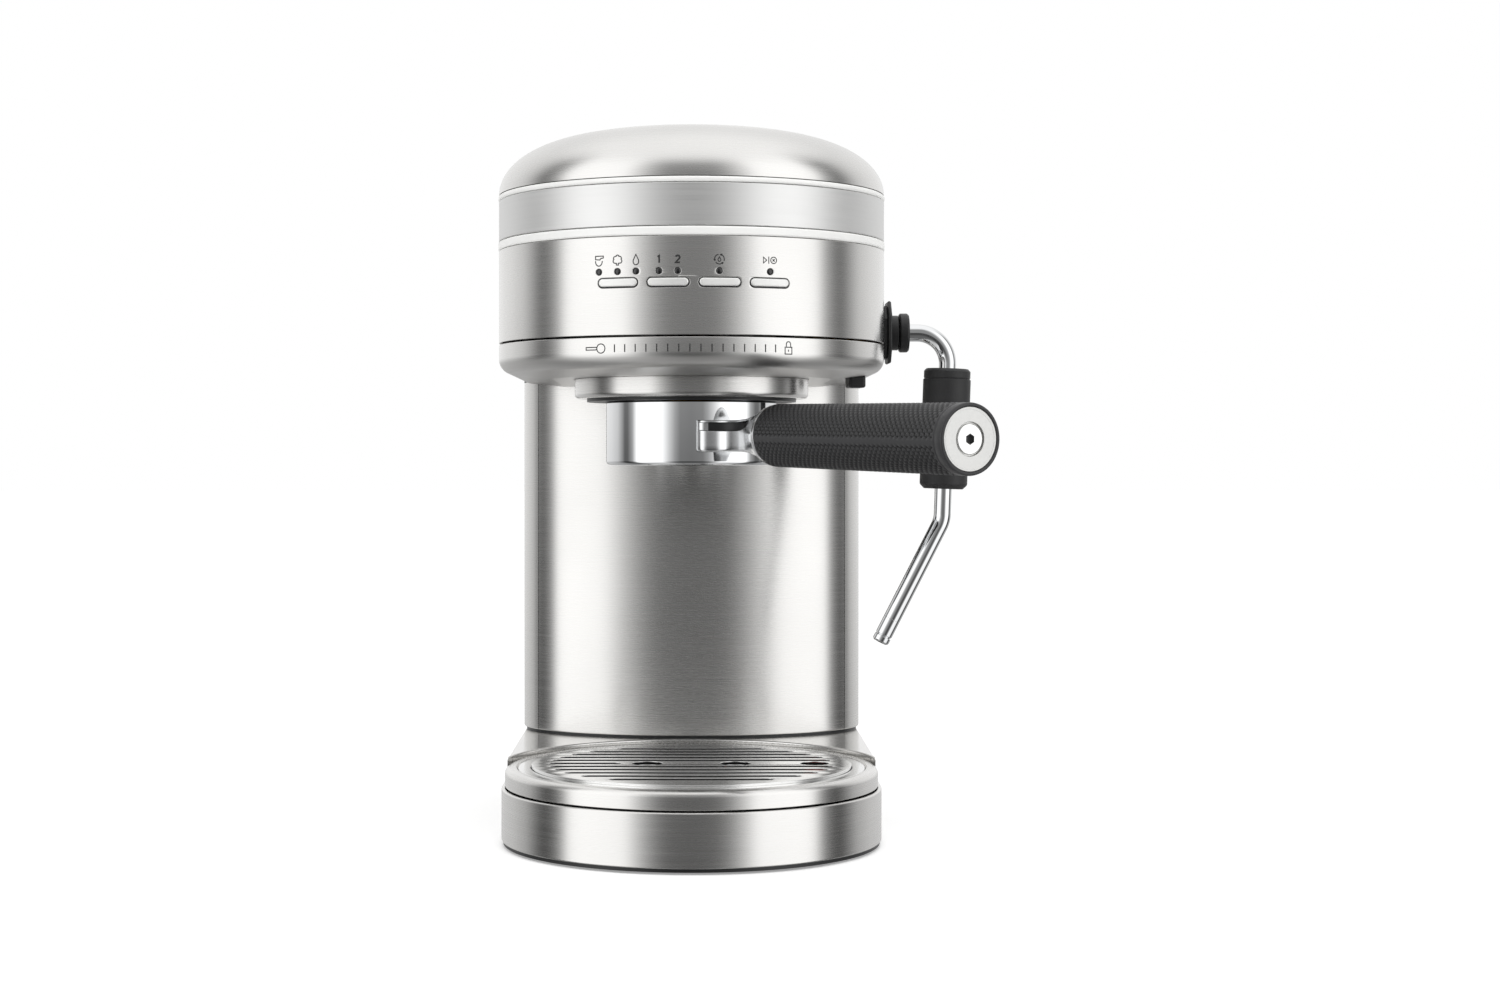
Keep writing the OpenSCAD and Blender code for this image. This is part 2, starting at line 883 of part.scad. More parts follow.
module group_casting()
{
    color("#b59a5a") difference() {
        translate([0, 0, group_z]) cylinder(r = group_r, h = group_h);
        translate([0, 0, group_z - over]) cylinder(r = lug_r + 0.5, h = lug_room_h + over);
        translate([0, 0, group_z]) cylinder(r = rim_neck_r + 0.5, h = gasket_z + gasket_h - group_z);
        translate([0, 0, group_z]) cylinder(r = 1.5, h = group_h + over);
    }
}

module group_gasket()
{
    color("#101010") translate([0, 0, gasket_z]) difference() {
        cylinder(r = rim_neck_r + 0.5, h = gasket_h);
        translate([0, 0, -over]) cylinder(r = screen_r + 0.5, h = gasket_h + 2 * over);
    }
}

module shower_screen()
{
    color("silver") translate([0, 0, screen_z]) difference() {
        cylinder(r = screen_r, h = gasket_z + gasket_h - screen_z);
        translate([0, 0, screen_t]) cylinder(r = screen_r - screen_t, h = gasket_h);
        for (ring = [8, 15, 21], k = [0:ring / 1.5])
            rotate([0, 0, k * 360 / (floor(ring / 1.5) + 1)]) translate([ring * screen_r / 26, 0, -over])
                cylinder(r = 0.8, h = screen_t + 2 * over);
        translate([0, 0, -over]) cylinder(r = 2, h = screen_t + 2 * over);
    }
}

module shower_screw()
{
    color("silver") translate([0, 0, screen_z]) {
        difference() {
            translate([0, 0, -1.2]) cylinder(r = 4, h = 1.2);
            translate([-3, -0.4, -2]) cube([6, 0.8, 1.4]);
        }
        translate([0, 0, -0.01]) cylinder(r = 1.5, h = group_top - screen_z - 8);
    }
}

// ---- Filter holder ----

module in_handle_frame()
{
    rotate([0, 0, handle_turn]) children();
}

module holder_body()
{
    color("#d8d8d8") difference() {
        union() {
            translate([0, 0, holder_z]) rotate_extrude() difference() {
                square([holder_r, holder_h]);
                translate([holder_r - 2, 2]) difference() {
                    translate([0, -2 - over]) square(2 + over);
                    circle(r = 2);
                }
            }
            translate([0, 0, holder_top]) cylinder(r = rim_neck_r, h = neck_top - holder_top);
            for (s = [0, 180])
                rotate([0, 0, handle_turn + lug_start + s]) translate([0, 0, lug_z])
                    rotate_extrude(angle = lug_arc) translate([rim_neck_r - 1, 0])
                        square([lug_r - rim_neck_r + 1, lug_h]);
            in_handle_frame() translate([0, 0, handle_z]) rotate([0, 90, 0]) rotate_extrude()
                polygon([for (p = neck_points) [p[1], p[0]]]);
            in_handle_frame() translate([0, 0, handle_z - neck_r]) linear_extrude(2 * neck_r)
                polygon([for (k = [0 : 6]) saddle_points[k], for (k = [6 : -1 : 0])
                    [saddle_points[k][0], -saddle_points[k][1]]]);
        }
        translate([0, 0, holder_z + 3]) cylinder(r = cup_r, h = holder_h + 20);
        translate([0, 0, holder_z - over]) cylinder(r = spout_r, h = 8);
        translate([0, 0, wire_z]) rotate_extrude() translate([wire_ring_r, 0]) circle(r = wire_r + 0.05);
        in_handle_frame() grip_place() translate([-bolt_in, 0, 0]) rotate([0, 90, 0])
            cylinder(r = bolt_r + running, h = bolt_in + 10);
    }
}

// Frame of the drooping handle: its X axis runs along the grip from the grip's near end
module grip_place()
{
    translate([grip_start, 0, handle_z]) rotate([0, grip_tilt, 0]) children();
}

module filter_basket()
{
    color("silver") difference() {
        union() {
            translate([0, 0, basket_z]) cylinder(r = basket_r, h = basket_top - basket_z);
            translate([0, 0, neck_top]) cylinder(r = rim_neck_r - 0.6, h = basket_lip_t);
        }
        translate([0, 0, basket_z + basket_t]) cylinder(r = basket_r - basket_t, h = basket_top);
        for (ring = [6, 12, 18], k = [0:ring - 1])
            rotate([0, 0, k * 360 / ring]) translate([ring * basket_r / 24, 0, basket_z - over])
                cylinder(r = 0.5, h = basket_t + 2 * over);
    }
}

module basket_spring()
{
    color("silver") translate([0, 0, wire_z]) rotate_extrude(angle = 330, start = handle_turn)
        translate([wire_ring_r, 0]) circle(r = wire_r);
}

module outlet_nozzle()
{
    color("#202020") difference() {
        translate([0, 0, holder_z]) cylinder(r = spout_r, h = 5.4);
        translate([0, 0, holder_z - over]) cylinder(r = spout_bore_r, h = 8);
    }
}

module handle_grip()
{
    color("#1a1a1a") in_handle_frame() grip_place() difference() {
        rotate([0, 90, 0]) rotate_extrude() polygon([
            [bolt_r + running, 0], [grip_near_r, 0], [grip_near_r + 0.2, 3], [grip_r, grip_len - 9],
            [grip_r, grip_len - 1.2], [grip_r - 0.6, grip_len], [bolt_r + running, grip_len]
        ]);
        translate([grip_len - disc_t, 0, 0]) rotate([0, 90, 0]) cylinder(r = disc_d / 2, h = disc_t + over);
        translate([-over, 0, 0]) rotate([0, 90, 0]) cylinder(r = grip_r + 1, h = over + loose);
    }
}

module handle_disc()
{
    color("#d0d0d0") in_handle_frame() grip_place() translate([grip_len - disc_t, 0, 0]) rotate([0, 90, 0])
    difference() {
        cylinder(r = disc_d / 2, h = disc_t - 0.3);
        translate([0, 0, -over]) cylinder(r = bolt_r + running, h = disc_t + 2 * over);
        translate([0, 0, disc_t - 1.5]) cylinder(r = bolt_head_d / 2 + 0.6, h = 3);
    }
}

module handle_bolt()
{
    head_from = grip_len - 1.5;
    color("silver") in_handle_frame() grip_place() rotate([0, 90, 0]) difference() {
        union() {
            translate([0, 0, -bolt_in + 1]) cylinder(r = bolt_r, h = bolt_in - 1 + head_from);
            translate([0, 0, head_from]) cylinder(r = bolt_head_d / 2, h = 1.1);
        }
        translate([0, 0, head_from - 1]) cylinder(r = 2.2, h = 4, $fn = 6);
    }
}

// ---- Steam wand ----

module wand_flange()
{
    h = flange_w / 2;
    b = flange_bevel;
    color("#141414") translate([head_r, wand_y, swivel_z]) rotate([90, 0, 90]) difference() {
        linear_extrude(flange_t) difference() {
            polygon([
                [-h, b - h], [b - h, -h], [h - b, -h], [h, b - h],
                [h, h - b], [h - b, h], [b - h, h], [-h, h - b]
            ]);
            circle(r = wand_r + wand_room);
        }
        for (s = [-1, 1])
            translate([s * (h - 4), s * (h - 8), flange_t - 1]) cylinder(r = flange_screw_r, h = 2);
    }
}

module wand_collar()
{
    color("#141414") translate([collar_x, wand_y, swivel_z]) rotate([0, 90, 0]) difference() {
        cylinder(r = collar_r, h = collar_t);
        translate([0, 0, -over]) cylinder(r = wand_r + running, h = collar_t + 2 * over);
    }
}

module steam_valve()
{
    pipe_r = wand_r + wand_room - running;
    pipe_x = steam_block_x + steam_block_w;
    half = steam_block_h / 2;
    leg_h = wand_z - half - casing_t;
    color("#c0a060") translate([0, wand_y, swivel_z]) {
        translate([steam_block_x, -half, -half]) cube([steam_block_w, steam_block_h, steam_block_h]);
        translate([pipe_x, 0, 0]) rotate([0, 90, 0]) difference() {
            cylinder(r = pipe_r, h = head_r + flange_t - 0.4 - pipe_x);
            translate([0, 0, 8]) cylinder(r = 2.5, h = head_r);
        }
        translate([steam_block_x + 7, 0, -half - leg_h]) cylinder(r = 4, h = leg_h);
    }
}

// Passes its children down the wand's upright stretch
module wand_upright_place()
{
    translate([elbow_x, wand_y, swivel_z - elbow_r])
        rotate([0, wand_lean, 0]) translate([elbow_r, 0, 0]) children();
}

// Passes its children down the sloping stretch
module wand_slope_place()
{
    wand_upright_place() translate([-elbow_r, 0, -wand_upright]) rotate([0, tip_bend, 0])
        translate([elbow_r, 0, 0]) children();
}

// A bend of the tube in the XZ plane about the origin, from the angle a, turning by turn
module bend(a, turn)
{
    rotate([90, 0, 0]) rotate_extrude(angle = turn, start = a)
        translate([elbow_r, 0]) circle(r = wand_r - bend_thinning);
}

module wand_tube()
{
    color("#d8d8d8") {
        translate([collar_x + collar_t - shaft_in, wand_y, swivel_z]) rotate([0, 90, 0])
            cylinder(r = wand_r, h = elbow_x - collar_x - collar_t + shaft_in + weld);
        translate([elbow_x, wand_y, swivel_z - elbow_r]) bend(-wand_lean, 90 + wand_lean);
        wand_upright_place() translate([0, 0, -wand_upright - weld])
            cylinder(r = wand_r, h = wand_upright + 2 * weld);
        wand_upright_place() translate([-elbow_r, 0, -wand_upright]) bend(-tip_bend, tip_bend);
        wand_slope_place() translate([0, 0, -(wand_slope - tip_len)])
            cylinder(r = wand_r, h = wand_slope - tip_len + weld);
    }
    color("#141414") translate([nut_x, wand_y, swivel_z]) rotate([0, 90, 0]) cylinder(r = nut_r, h = nut_t);
}

module wand_grip()
{
    edge = 2;
    r = wand_grip_d / 2;
    bore = wand_r + running;
    color("#141414") wand_upright_place() translate([0, 0, -grip_below - wand_grip_len])
    rotate_extrude() polygon([
        [bore, 0], [r - edge, 0], [r - edge * 0.3, edge * 0.3], [r, edge], [r, wand_grip_len - 5],
        [r - 0.6, wand_grip_len - 4.6], [r - 0.2, wand_grip_len - 4], [r - 0.2, wand_grip_len - 1],
        [r - 1.2, wand_grip_len], [bore, wand_grip_len]
    ]);
}

module wand_tip()
{
    color("#d8d8d8") wand_slope_place() translate([0, 0, -wand_slope]) rotate_extrude() polygon([
        [1, 0], [wand_r - 0.8, 0], [wand_r, 0.8], [wand_r, 3.2], [wand_r - 0.4, 3.4],
        [wand_r - 0.4, 3.8], [wand_r, 4], [wand_r, tip_len], [1, tip_len]
    ]);
}

// ---- Release latch ----

module latch_place()
{
    rotate([0, 0, latch_angle - 90]) translate([latch_r, 0, head_z]) children();
}

module release_latch()
{
    drop = latch_travel + loose;
    color("#101010") latch_place() {
        translate([-latch_d / 2, -latch_w / 2, -drop - latch_h]) cube([latch_d, latch_w, latch_h]);
        translate([-latch_stem / 2, -latch_stem / 2, -drop - weld])
            cube([latch_stem, latch_stem, drop + casing_t + 3]);
        translate([-latch_stem / 2 - 1, -latch_stem / 2 - 1, casing_t + loose])
            cube([latch_stem + 2, latch_stem + 2, 3]);
    }
}

// ---- Inside ----

module pump()
{
    color("#606060") translate([pump_x, pump_y, pump_z]) {
        cylinder(r = pump_r - 4, h = 18);
        translate([0, 0, 18]) cylinder(r = pump_r, h = 46);
        translate([0, 0, 64]) cylinder(r = pump_r - 7, h = pump_h - 72);
        translate([0, 0, pump_h - 8]) cylinder(r = 4, h = 8);
    }
}

module pump_mounts()
{
    color("#101010") translate([pump_x, pump_y, 0]) {
        translate([0, 0, column_z]) cylinder(r = pump_r - 6, h = pump_foot_h);
        translate([0, 0, pump_z + 66]) difference() {
            union() {
                cylinder(r = pump_r - 3, h = 8);
                translate([-3, 0, 0]) cube([6, casing_back - pump_y, 8]);
            }
            translate([0, 0, -over]) cylinder(r = pump_r - 7, h = 10);
        }
    }
}

module heater_block()
{
    color("#a8a8a8") translate([0, 0, group_top]) {
        cylinder(r = heater_r, h = heater_h);
        for (x = [-1, 1])
            translate([x * heater_r / 2, 0, heater_h]) cylinder(r = 3, h = 8);
    }
}

module flow_meter()
{
    color("#e8e8e8") translate([valve_x, pump_y, column_z]) {
        cylinder(r = meter_r, h = meter_h);
        cylinder(r = 4, h = meter_h + 6);
    }
}

module solenoid_valve()
{
    color("#707070") translate([valve_x - valve_block / 2, casing_back - valve_block, column_z + 80])
        cube([valve_block, valve_block, valve_block_h]);
}

module water_hoses()
{
    pump_top = pump_z + pump_h;
    color("#d0d0d0") {
        translate([valve_x, pump_y, column_z + meter_h + 6])
            cylinder(r = hose_r, h = 80 - meter_h - 6);
        translate([valve_x, casing_back - valve_block / 2, column_z + 80 + valve_block_h])
            cylinder(r = hose_r, h = head_z - casing_t - column_z - 80 - valve_block_h);
        translate([pump_x, pump_y, pump_top]) cylinder(r = hose_r, h = head_z - casing_t - pump_top);
    }
}

// ---- Water tank ----

module tank_plan(i = 0)
{
    intersection() {
        rounded_plan(tank_r, back_y, tank_corner_r, i);
        translate([-head_r, tank_y + i]) square([head_w, tank_d]);
    }
}

module water_tank()
{
    color("#405060", 0.6) difference() {
        union() {
            translate([0, 0, tank_z]) linear_extrude(tank_top - tank_z) difference() {
                tank_plan();
                tank_plan(tank_t);
            }
            translate([0, 0, tank_z]) linear_extrude(tank_t) tank_plan(tank_t - 0.5);
            for (s = [-1, 1])
                translate([s * ear_x - ear_w / 2, lid_pin_y - 3, 0]) {
                    translate([0, 0, tank_top - 12]) cube([ear_w, 6, lid_pin_z - tank_top + 12]);
                    translate([0, 3, lid_pin_z]) rotate([0, 90, 0]) cylinder(r = ear_r, h = ear_w);
                }
        }
        translate([0, valve_y, tank_z - over]) cylinder(r = valve_hole_r, h = tank_t + 2 * over);
        translate([-ear_x - ear_w, lid_pin_y, lid_pin_z]) rotate([0, 90, 0])
            cylinder(r = pin_r + running, h = 2 * (ear_x + ear_w));
    }
}

module tank_valve()
{
    color("#d0d0d0") translate([0, valve_y, 0]) {
        translate([0, 0, tank_z + tank_t + valve_gap]) cylinder(r = valve_head_r, h = valve_head_t);
        translate([0, 0, deck_top + 1.7 + valve_gap])
            cylinder(r = valve_stem_r, h = tank_z + tank_t - deck_top - 1.3);
    }
}

// Solid of the lid's outside, or of its inside when i is the wall
module lid_form(i = 0)
{
    rise = total_h - dome_z;
    intersection() {
        translate([0, back_y, 0]) rotate([90, 0, 0]) linear_extrude(tank_d)
            polygon(concat([[-head_r, lid_z], [head_r, lid_z]], dome_arch(i, dome_z)));
        translate([0, 0, lid_z]) linear_extrude(total_h - lid_z) tank_plan(i);
        translate([-head_r, 0, 0]) rotate([90, 0, 90]) linear_extrude(head_w) union() {
            translate([tank_y, lid_z]) square([tank_d - i, dome_z - lid_z]);
            translate([back_y - tank_corner_r, dome_z]) curve_quarter(tank_corner_r - i, rise - i);
            translate([tank_y, dome_z]) square([tank_d - tank_corner_r, rise - i]);
        }
    }
}

// Quarter of the dome's curve, w wide and h high
module curve_quarter(w, h)
{
    polygon(concat([[0, 0]], dome_points(w, h)));
}

module tank_lid()
{
    color("#1a1a1a") {
        intersection() {
            difference() {
                lid_form();
                translate([0, -over, 0]) lid_form(lid_t);
                translate([0, -lid_t - over, 0]) lid_form(lid_t);
                for (s = [-1, 1])
                    translate([s * ear_x - ear_w / 2 - loose, tank_y - over, lid_pin_z - 2 * ear_r])
                        cube([ear_w + 2 * loose, lid_pin_y - tank_y + over + ear_r + 2 * loose, 4 * ear_r]);
            }
            union() {
                translate([-head_r, lid_pin_y, 0]) cube([head_w, tank_d, total_h + over]);
                translate([-head_r, lid_pin_y, lid_pin_z]) rotate([0, 90, 0])
                    cylinder(r = knuckle_r, h = head_w);
            }
        }
        for (s = [-1, 1])
            translate([s * boss_x - boss_w / 2, lid_pin_y, lid_pin_z]) rotate([0, 90, 0]) difference() {
                union() {
                    cylinder(r = 2.6, h = boss_w);
                    translate([-2.2, -2.6, 0]) cube([2.2, 5.2, boss_w]);
                }
                translate([0, 0, -over]) cylinder(r = pin_r, h = boss_w + 2 * over);
            }
    }
}

module lid_pin()
{
    length = 2 * boss_x + boss_w;
    color("silver") translate([-length / 2, lid_pin_y, lid_pin_z]) rotate([0, 90, 0])
        cylinder(r = pin_r, h = length);
}

feet();
floor_pan();
case_screws();
base_band();
base_deck();
tank_seat();
mains_inlet();
inner_frame();
back_wall();
column_front();
column_sides();
head_lower_shell();
control_panel();
lower_trim();
plain_band();
upper_trim();
dome_cover();
ring_shroud();
bayonet_ring();
group_casting();
group_gasket();
shower_screen();
shower_screw();
indicator_lamps();
button_carrier();
circuit_boards();
wand_flange();
wand_collar();
steam_valve();
pump();
pump_mounts();
heater_block();
solenoid_valve();
flow_meter();
water_hoses();
holder_body();
filter_basket();
basket_spring();
outlet_nozzle();
handle_grip();
handle_disc();
handle_bolt();
tray_tub();
tray_rim();
drip_grate();
tray_float();
button_function();
button_shots();
button_clean();
button_start();
wand_tube();
wand_grip();
wand_tip();
release_latch();
water_tank();
tank_lid();
lid_pin();
tank_valve();
power_rocker();
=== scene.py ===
"""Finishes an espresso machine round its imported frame. Lengths are millimetres unless said otherwise."""

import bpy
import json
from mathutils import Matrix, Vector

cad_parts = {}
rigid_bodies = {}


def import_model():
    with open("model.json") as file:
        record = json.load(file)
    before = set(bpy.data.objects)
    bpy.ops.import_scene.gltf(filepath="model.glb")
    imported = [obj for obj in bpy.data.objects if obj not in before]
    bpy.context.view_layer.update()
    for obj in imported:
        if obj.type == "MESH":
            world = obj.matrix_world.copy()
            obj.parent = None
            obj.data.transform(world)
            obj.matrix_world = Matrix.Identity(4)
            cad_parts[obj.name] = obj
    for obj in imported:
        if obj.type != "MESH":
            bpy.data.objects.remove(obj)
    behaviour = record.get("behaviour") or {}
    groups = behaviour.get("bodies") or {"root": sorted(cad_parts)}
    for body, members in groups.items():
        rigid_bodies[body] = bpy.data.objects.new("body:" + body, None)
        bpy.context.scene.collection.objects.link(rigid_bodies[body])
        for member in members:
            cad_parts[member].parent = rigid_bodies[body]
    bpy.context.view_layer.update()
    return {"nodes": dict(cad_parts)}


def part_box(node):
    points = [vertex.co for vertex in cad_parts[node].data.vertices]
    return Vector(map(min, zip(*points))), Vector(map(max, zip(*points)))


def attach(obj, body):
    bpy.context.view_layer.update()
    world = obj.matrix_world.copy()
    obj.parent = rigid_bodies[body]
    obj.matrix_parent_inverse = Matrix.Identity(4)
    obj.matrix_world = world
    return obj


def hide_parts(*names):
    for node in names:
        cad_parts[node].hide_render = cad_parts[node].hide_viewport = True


bl_info = {
    "name": "Espresso Machine",
    "version": (1, 0, 0),
    "blender": (4, 5, 0),
    "location": "View3D > Sidebar > Espresso",
    "description": "Builds the finished pieces of a compact espresso machine round its frame",
    "category": "Add Mesh",
}

import json
import math
from functools import cache, partial

import bmesh
import bpy
from bpy.props import FloatProperty, FloatVectorProperty, IntProperty, PointerProperty
from mathutils import Matrix, Vector

for leftover in list(bpy.data.objects):
    bpy.data.objects.remove(leftover)
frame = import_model()

MM = 0.001
TAU = 2 * math.pi
TINY = 1e-6


# ---- Sizes taken from the frame ----

def low(node):
    """Lowest corner of a frame node, in millimetres."""
    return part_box(node)[0] / MM


def high(node):
    """Highest corner of a frame node, in millimetres."""
    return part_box(node)[1] / MM


def middle(node):
    """Middle of a frame node's box, in millimetres."""
    return (low(node) + high(node)) / 2


def heights(node):
    """Lowest and highest level of a frame node."""
    return low(node).z, high(node).z


HEAD_R = high("plain_band").x
HEAD_BACK = high("plain_band").y
BASE_R = high("base_band").x
BASE_BACK = high("base_band").y
DECK_R = high("base_deck").x
COLUMN_R = high("column_sides").x
TANK_FRONT = low("water_tank").y
TANK_R = high("water_tank").x
HOLDER_R = 38.9
HOLDER_Z = low("holder_body").z
WALL = 2.0
BACK_CORNER = 40.0
BUTTON_ANGLES = {"function": -20.9, "shots": -6.5, "clean": 7.9, "start": 22.3}
LAMP_ANGLES = (-26.6, -20.9, -15.5, -9.0, -3.8, 7.7, 22.3)
HANDLE_TURN = -60.0
SEAM = 0.8
SHEET_GAP = 0.12
UNDERSIDE_RISE = 3.0
SLOT_WIDTH = 18.4
SLOT_HEIGHT = 4.4
LATCH_DEPTH = 7.8
LATCH_WIDTH = 10.8
GRIP_START = 75.0
GRIP_Z = HOLDER_Z + 13.0
GRIP_DROOP = 1.1
INK_OUT = 0.03
INK_IN = -0.05


# ---- Colours and nodes ----

MATH = "ShaderNodeMath"
VECTOR = "ShaderNodeVectorMath"
SPLIT = "ShaderNodeSeparateXYZ"
JOIN = "ShaderNodeCombineXYZ"
RANGE = "ShaderNodeMapRange"
MIX = "ShaderNodeMix"
NOISE = "ShaderNodeTexNoise"
BUMP = "ShaderNodeBump"
COORDINATES = "ShaderNodeTexCoord"
RAYS = "ShaderNodeLightPath"
CIRCLE = "GeometryNodeCurvePrimitiveCircle"
ON_POINTS = "GeometryNodeInstanceOnPoints"
GATHER = "GeometryNodeJoinGeometry"


def linear(hex_text):
    """Linear colour of an sRGB hex value."""
    values = [int(hex_text[k:k + 2], 16) / 255 for k in (0, 2, 4)]
    return tuple(v / 12.92 if v <= 0.04045 else ((v + 0.055) / 1.055) ** 2.4 for v in values)


def shaded(colour, factor):
    """A linear colour made lighter or darker, with its alpha."""
    return (*(min(1.0, c * factor) for c in colour[:3]), 1)


def feed(node, inputs):
    """Fills inputs in order or by key: nodes, sockets and lists of them are linked, other values are set."""
    for key, value in inputs.items() if isinstance(inputs, dict) else enumerate(inputs):
        for part in value if isinstance(value, list) else [value]:
            if isinstance(part, bpy.types.Node):
                part = part.outputs[0]
            if isinstance(part, bpy.types.NodeSocket):
                node.id_data.links.new(part, node.inputs[key])
            else:
                node.inputs[key].default_value = part


def add_node(tree, kind, inputs=(), **settings):
    """Adds a node with its settings and fills its inputs."""
    made = tree.nodes.new(kind)
    for name, value in settings.items():
        setattr(made, name, value)
    feed(made, inputs)
    return made


# ---- Materials ----

def start_material(name, colour, roughness, metallic, **inputs):
    """New material with its Principled shader; returns the material, the shader and what adds its nodes."""
    material = bpy.data.materials.new(name)
    material.use_nodes = True
    shader = material.node_tree.nodes["Principled BSDF"]
    feed(shader, {"Base Color": shaded(colour, 1), "Roughness": roughness, "Metallic": metallic, **inputs})
    return material, shader, partial(add_node, material.node_tree)


def brushed_steel(name, colour, roughness, streak, smear=0.75, circling=True, satin_below=None):
    """Stainless sheet brushed along the wall, so lights smear up and down; turned parts are brushed round.

    Below a height in millimetres, where one is given, the sheet is blasted instead of brushed."""
    grain, relief, tone_spread, satin = 0.08, 0.05, 0.03, 1.5
    material, shader, node = start_material(
        name, colour, roughness, 1.0, **{"Anisotropic": smear, "Anisotropic Rotation": 0.25})
    spot = node(COORDINATES).outputs["Object"]
    x, y, z = node(SPLIT, [spot]).outputs
    plan = node(JOIN, [x, node(MATH, [y, 0.0], operation="MINIMUM")])
    out = node(VECTOR, [plan], operation="LENGTH").outputs["Value"]
    slanted = node(MATH, [x, y], operation="ADD")
    across, lengthways = 1 / (streak * MM), 1 / (110 * streak * MM)
    stretch = node(JOIN, [node(MATH, [reach, scale], operation="MULTIPLY") for reach, scale in (
        (out, across * circling), (slanted, lengthways), (z, across))])
    streaks = node(NOISE, {"Vector": stretch, "Scale": 1.0, "Detail": 3.0, "Roughness": 0.65})
    clouds = node(NOISE, {"Vector": spot, "Scale": 22.0, "Detail": 2.0})
    rough = node(RANGE, [streaks, 0.3, 0.7, roughness * (1 - grain), roughness * (1 + grain)])
    if satin_below is not None:
        rise = [z, (satin_below - 2) * MM, satin_below * MM]
        rough = node(MATH, [rough, node(RANGE, rise + [satin, 1.0])], operation="MULTIPLY")
        feed(shader, {"Anisotropic": node(RANGE, rise + [0.0, smear])})
    tone = node(MATH, [streaks, clouds], operation="ADD")
    feed(shader, {
        "Base Color": node(MIX, {
            0: node(RANGE, [tone, 0.7, 1.3, 0.0, 1.0]), 6: shaded(colour, 1 - tone_spread),
            7: shaded(colour, 1 + tone_spread)}, data_type="RGBA").outputs[2],
        "Roughness": rough,
        "Normal": node(BUMP, {"Height": streaks, "Strength": relief, "Distance": 0.02 * MM}),
        "Tangent": node("ShaderNodeTangent", direction_type="RADIAL", axis="Z")})
    return material


def grained(name, colour, roughness, grain, detail, tones, metallic=0.0, relief=0.0, depth=0.0, haze=None,
            haze_scale=None, groove=None, pits=None, **inputs):
    """Surface whose grain tints the colour between two tones and stands in relief, to a depth.

    The haze spreads the roughness, with the grain or at a scale of its own. A groove is the pitch of the
    rings turned in the handle's disc; pits names a mesh attribute that paints shade into the dimples."""
    material, shader, node = start_material(name, colour, roughness, metallic, **inputs)
    spot = node(COORDINATES).outputs["Object"]
    noise = node(NOISE, {"Vector": spot, "Scale": 1 / (grain * MM), "Detail": detail})
    tint = node(MIX, {0: noise, 6: shaded(colour, tones[0]), 7: shaded(colour, tones[1])},
                data_type="RGBA").outputs[2]
    # Painted shade: the colour goes almost black where the named attribute marks a dimple, where shade falls
    if pits:
        sunk = node("ShaderNodeAttribute", attribute_name=pits).outputs["Fac"]
        tint = node(MIX, {0: sunk, 6: tint, 7: shaded(colour, 0.06)}, data_type="RGBA").outputs[2]
    feed(shader, {"Base Color": tint})
    if haze:
        cloud = node(NOISE, {"Vector": spot, "Scale": haze_scale, "Detail": 2.0}) if haze_scale else noise
        feed(shader, {"Roughness": node(RANGE, [cloud, 0.3, 0.7] + [roughness * h for h in haze])})
    height = noise
    if groove:
        local = node(VECTOR, [spot, tuple(middle("handle_disc") * MM)], operation="SUBTRACT")
        reach = node(VECTOR, [local], operation="LENGTH").outputs["Value"]
        rings = node(MATH, [reach, TAU / (groove * MM)], operation="MULTIPLY")
        height = node(MATH, [node(MATH, [rings], operation="SINE"), noise], operation="ADD")
    if relief:
        feed(shader, {"Normal": node(BUMP, {"Height": height, "Strength": relief, "Distance": depth * MM})})
    return material


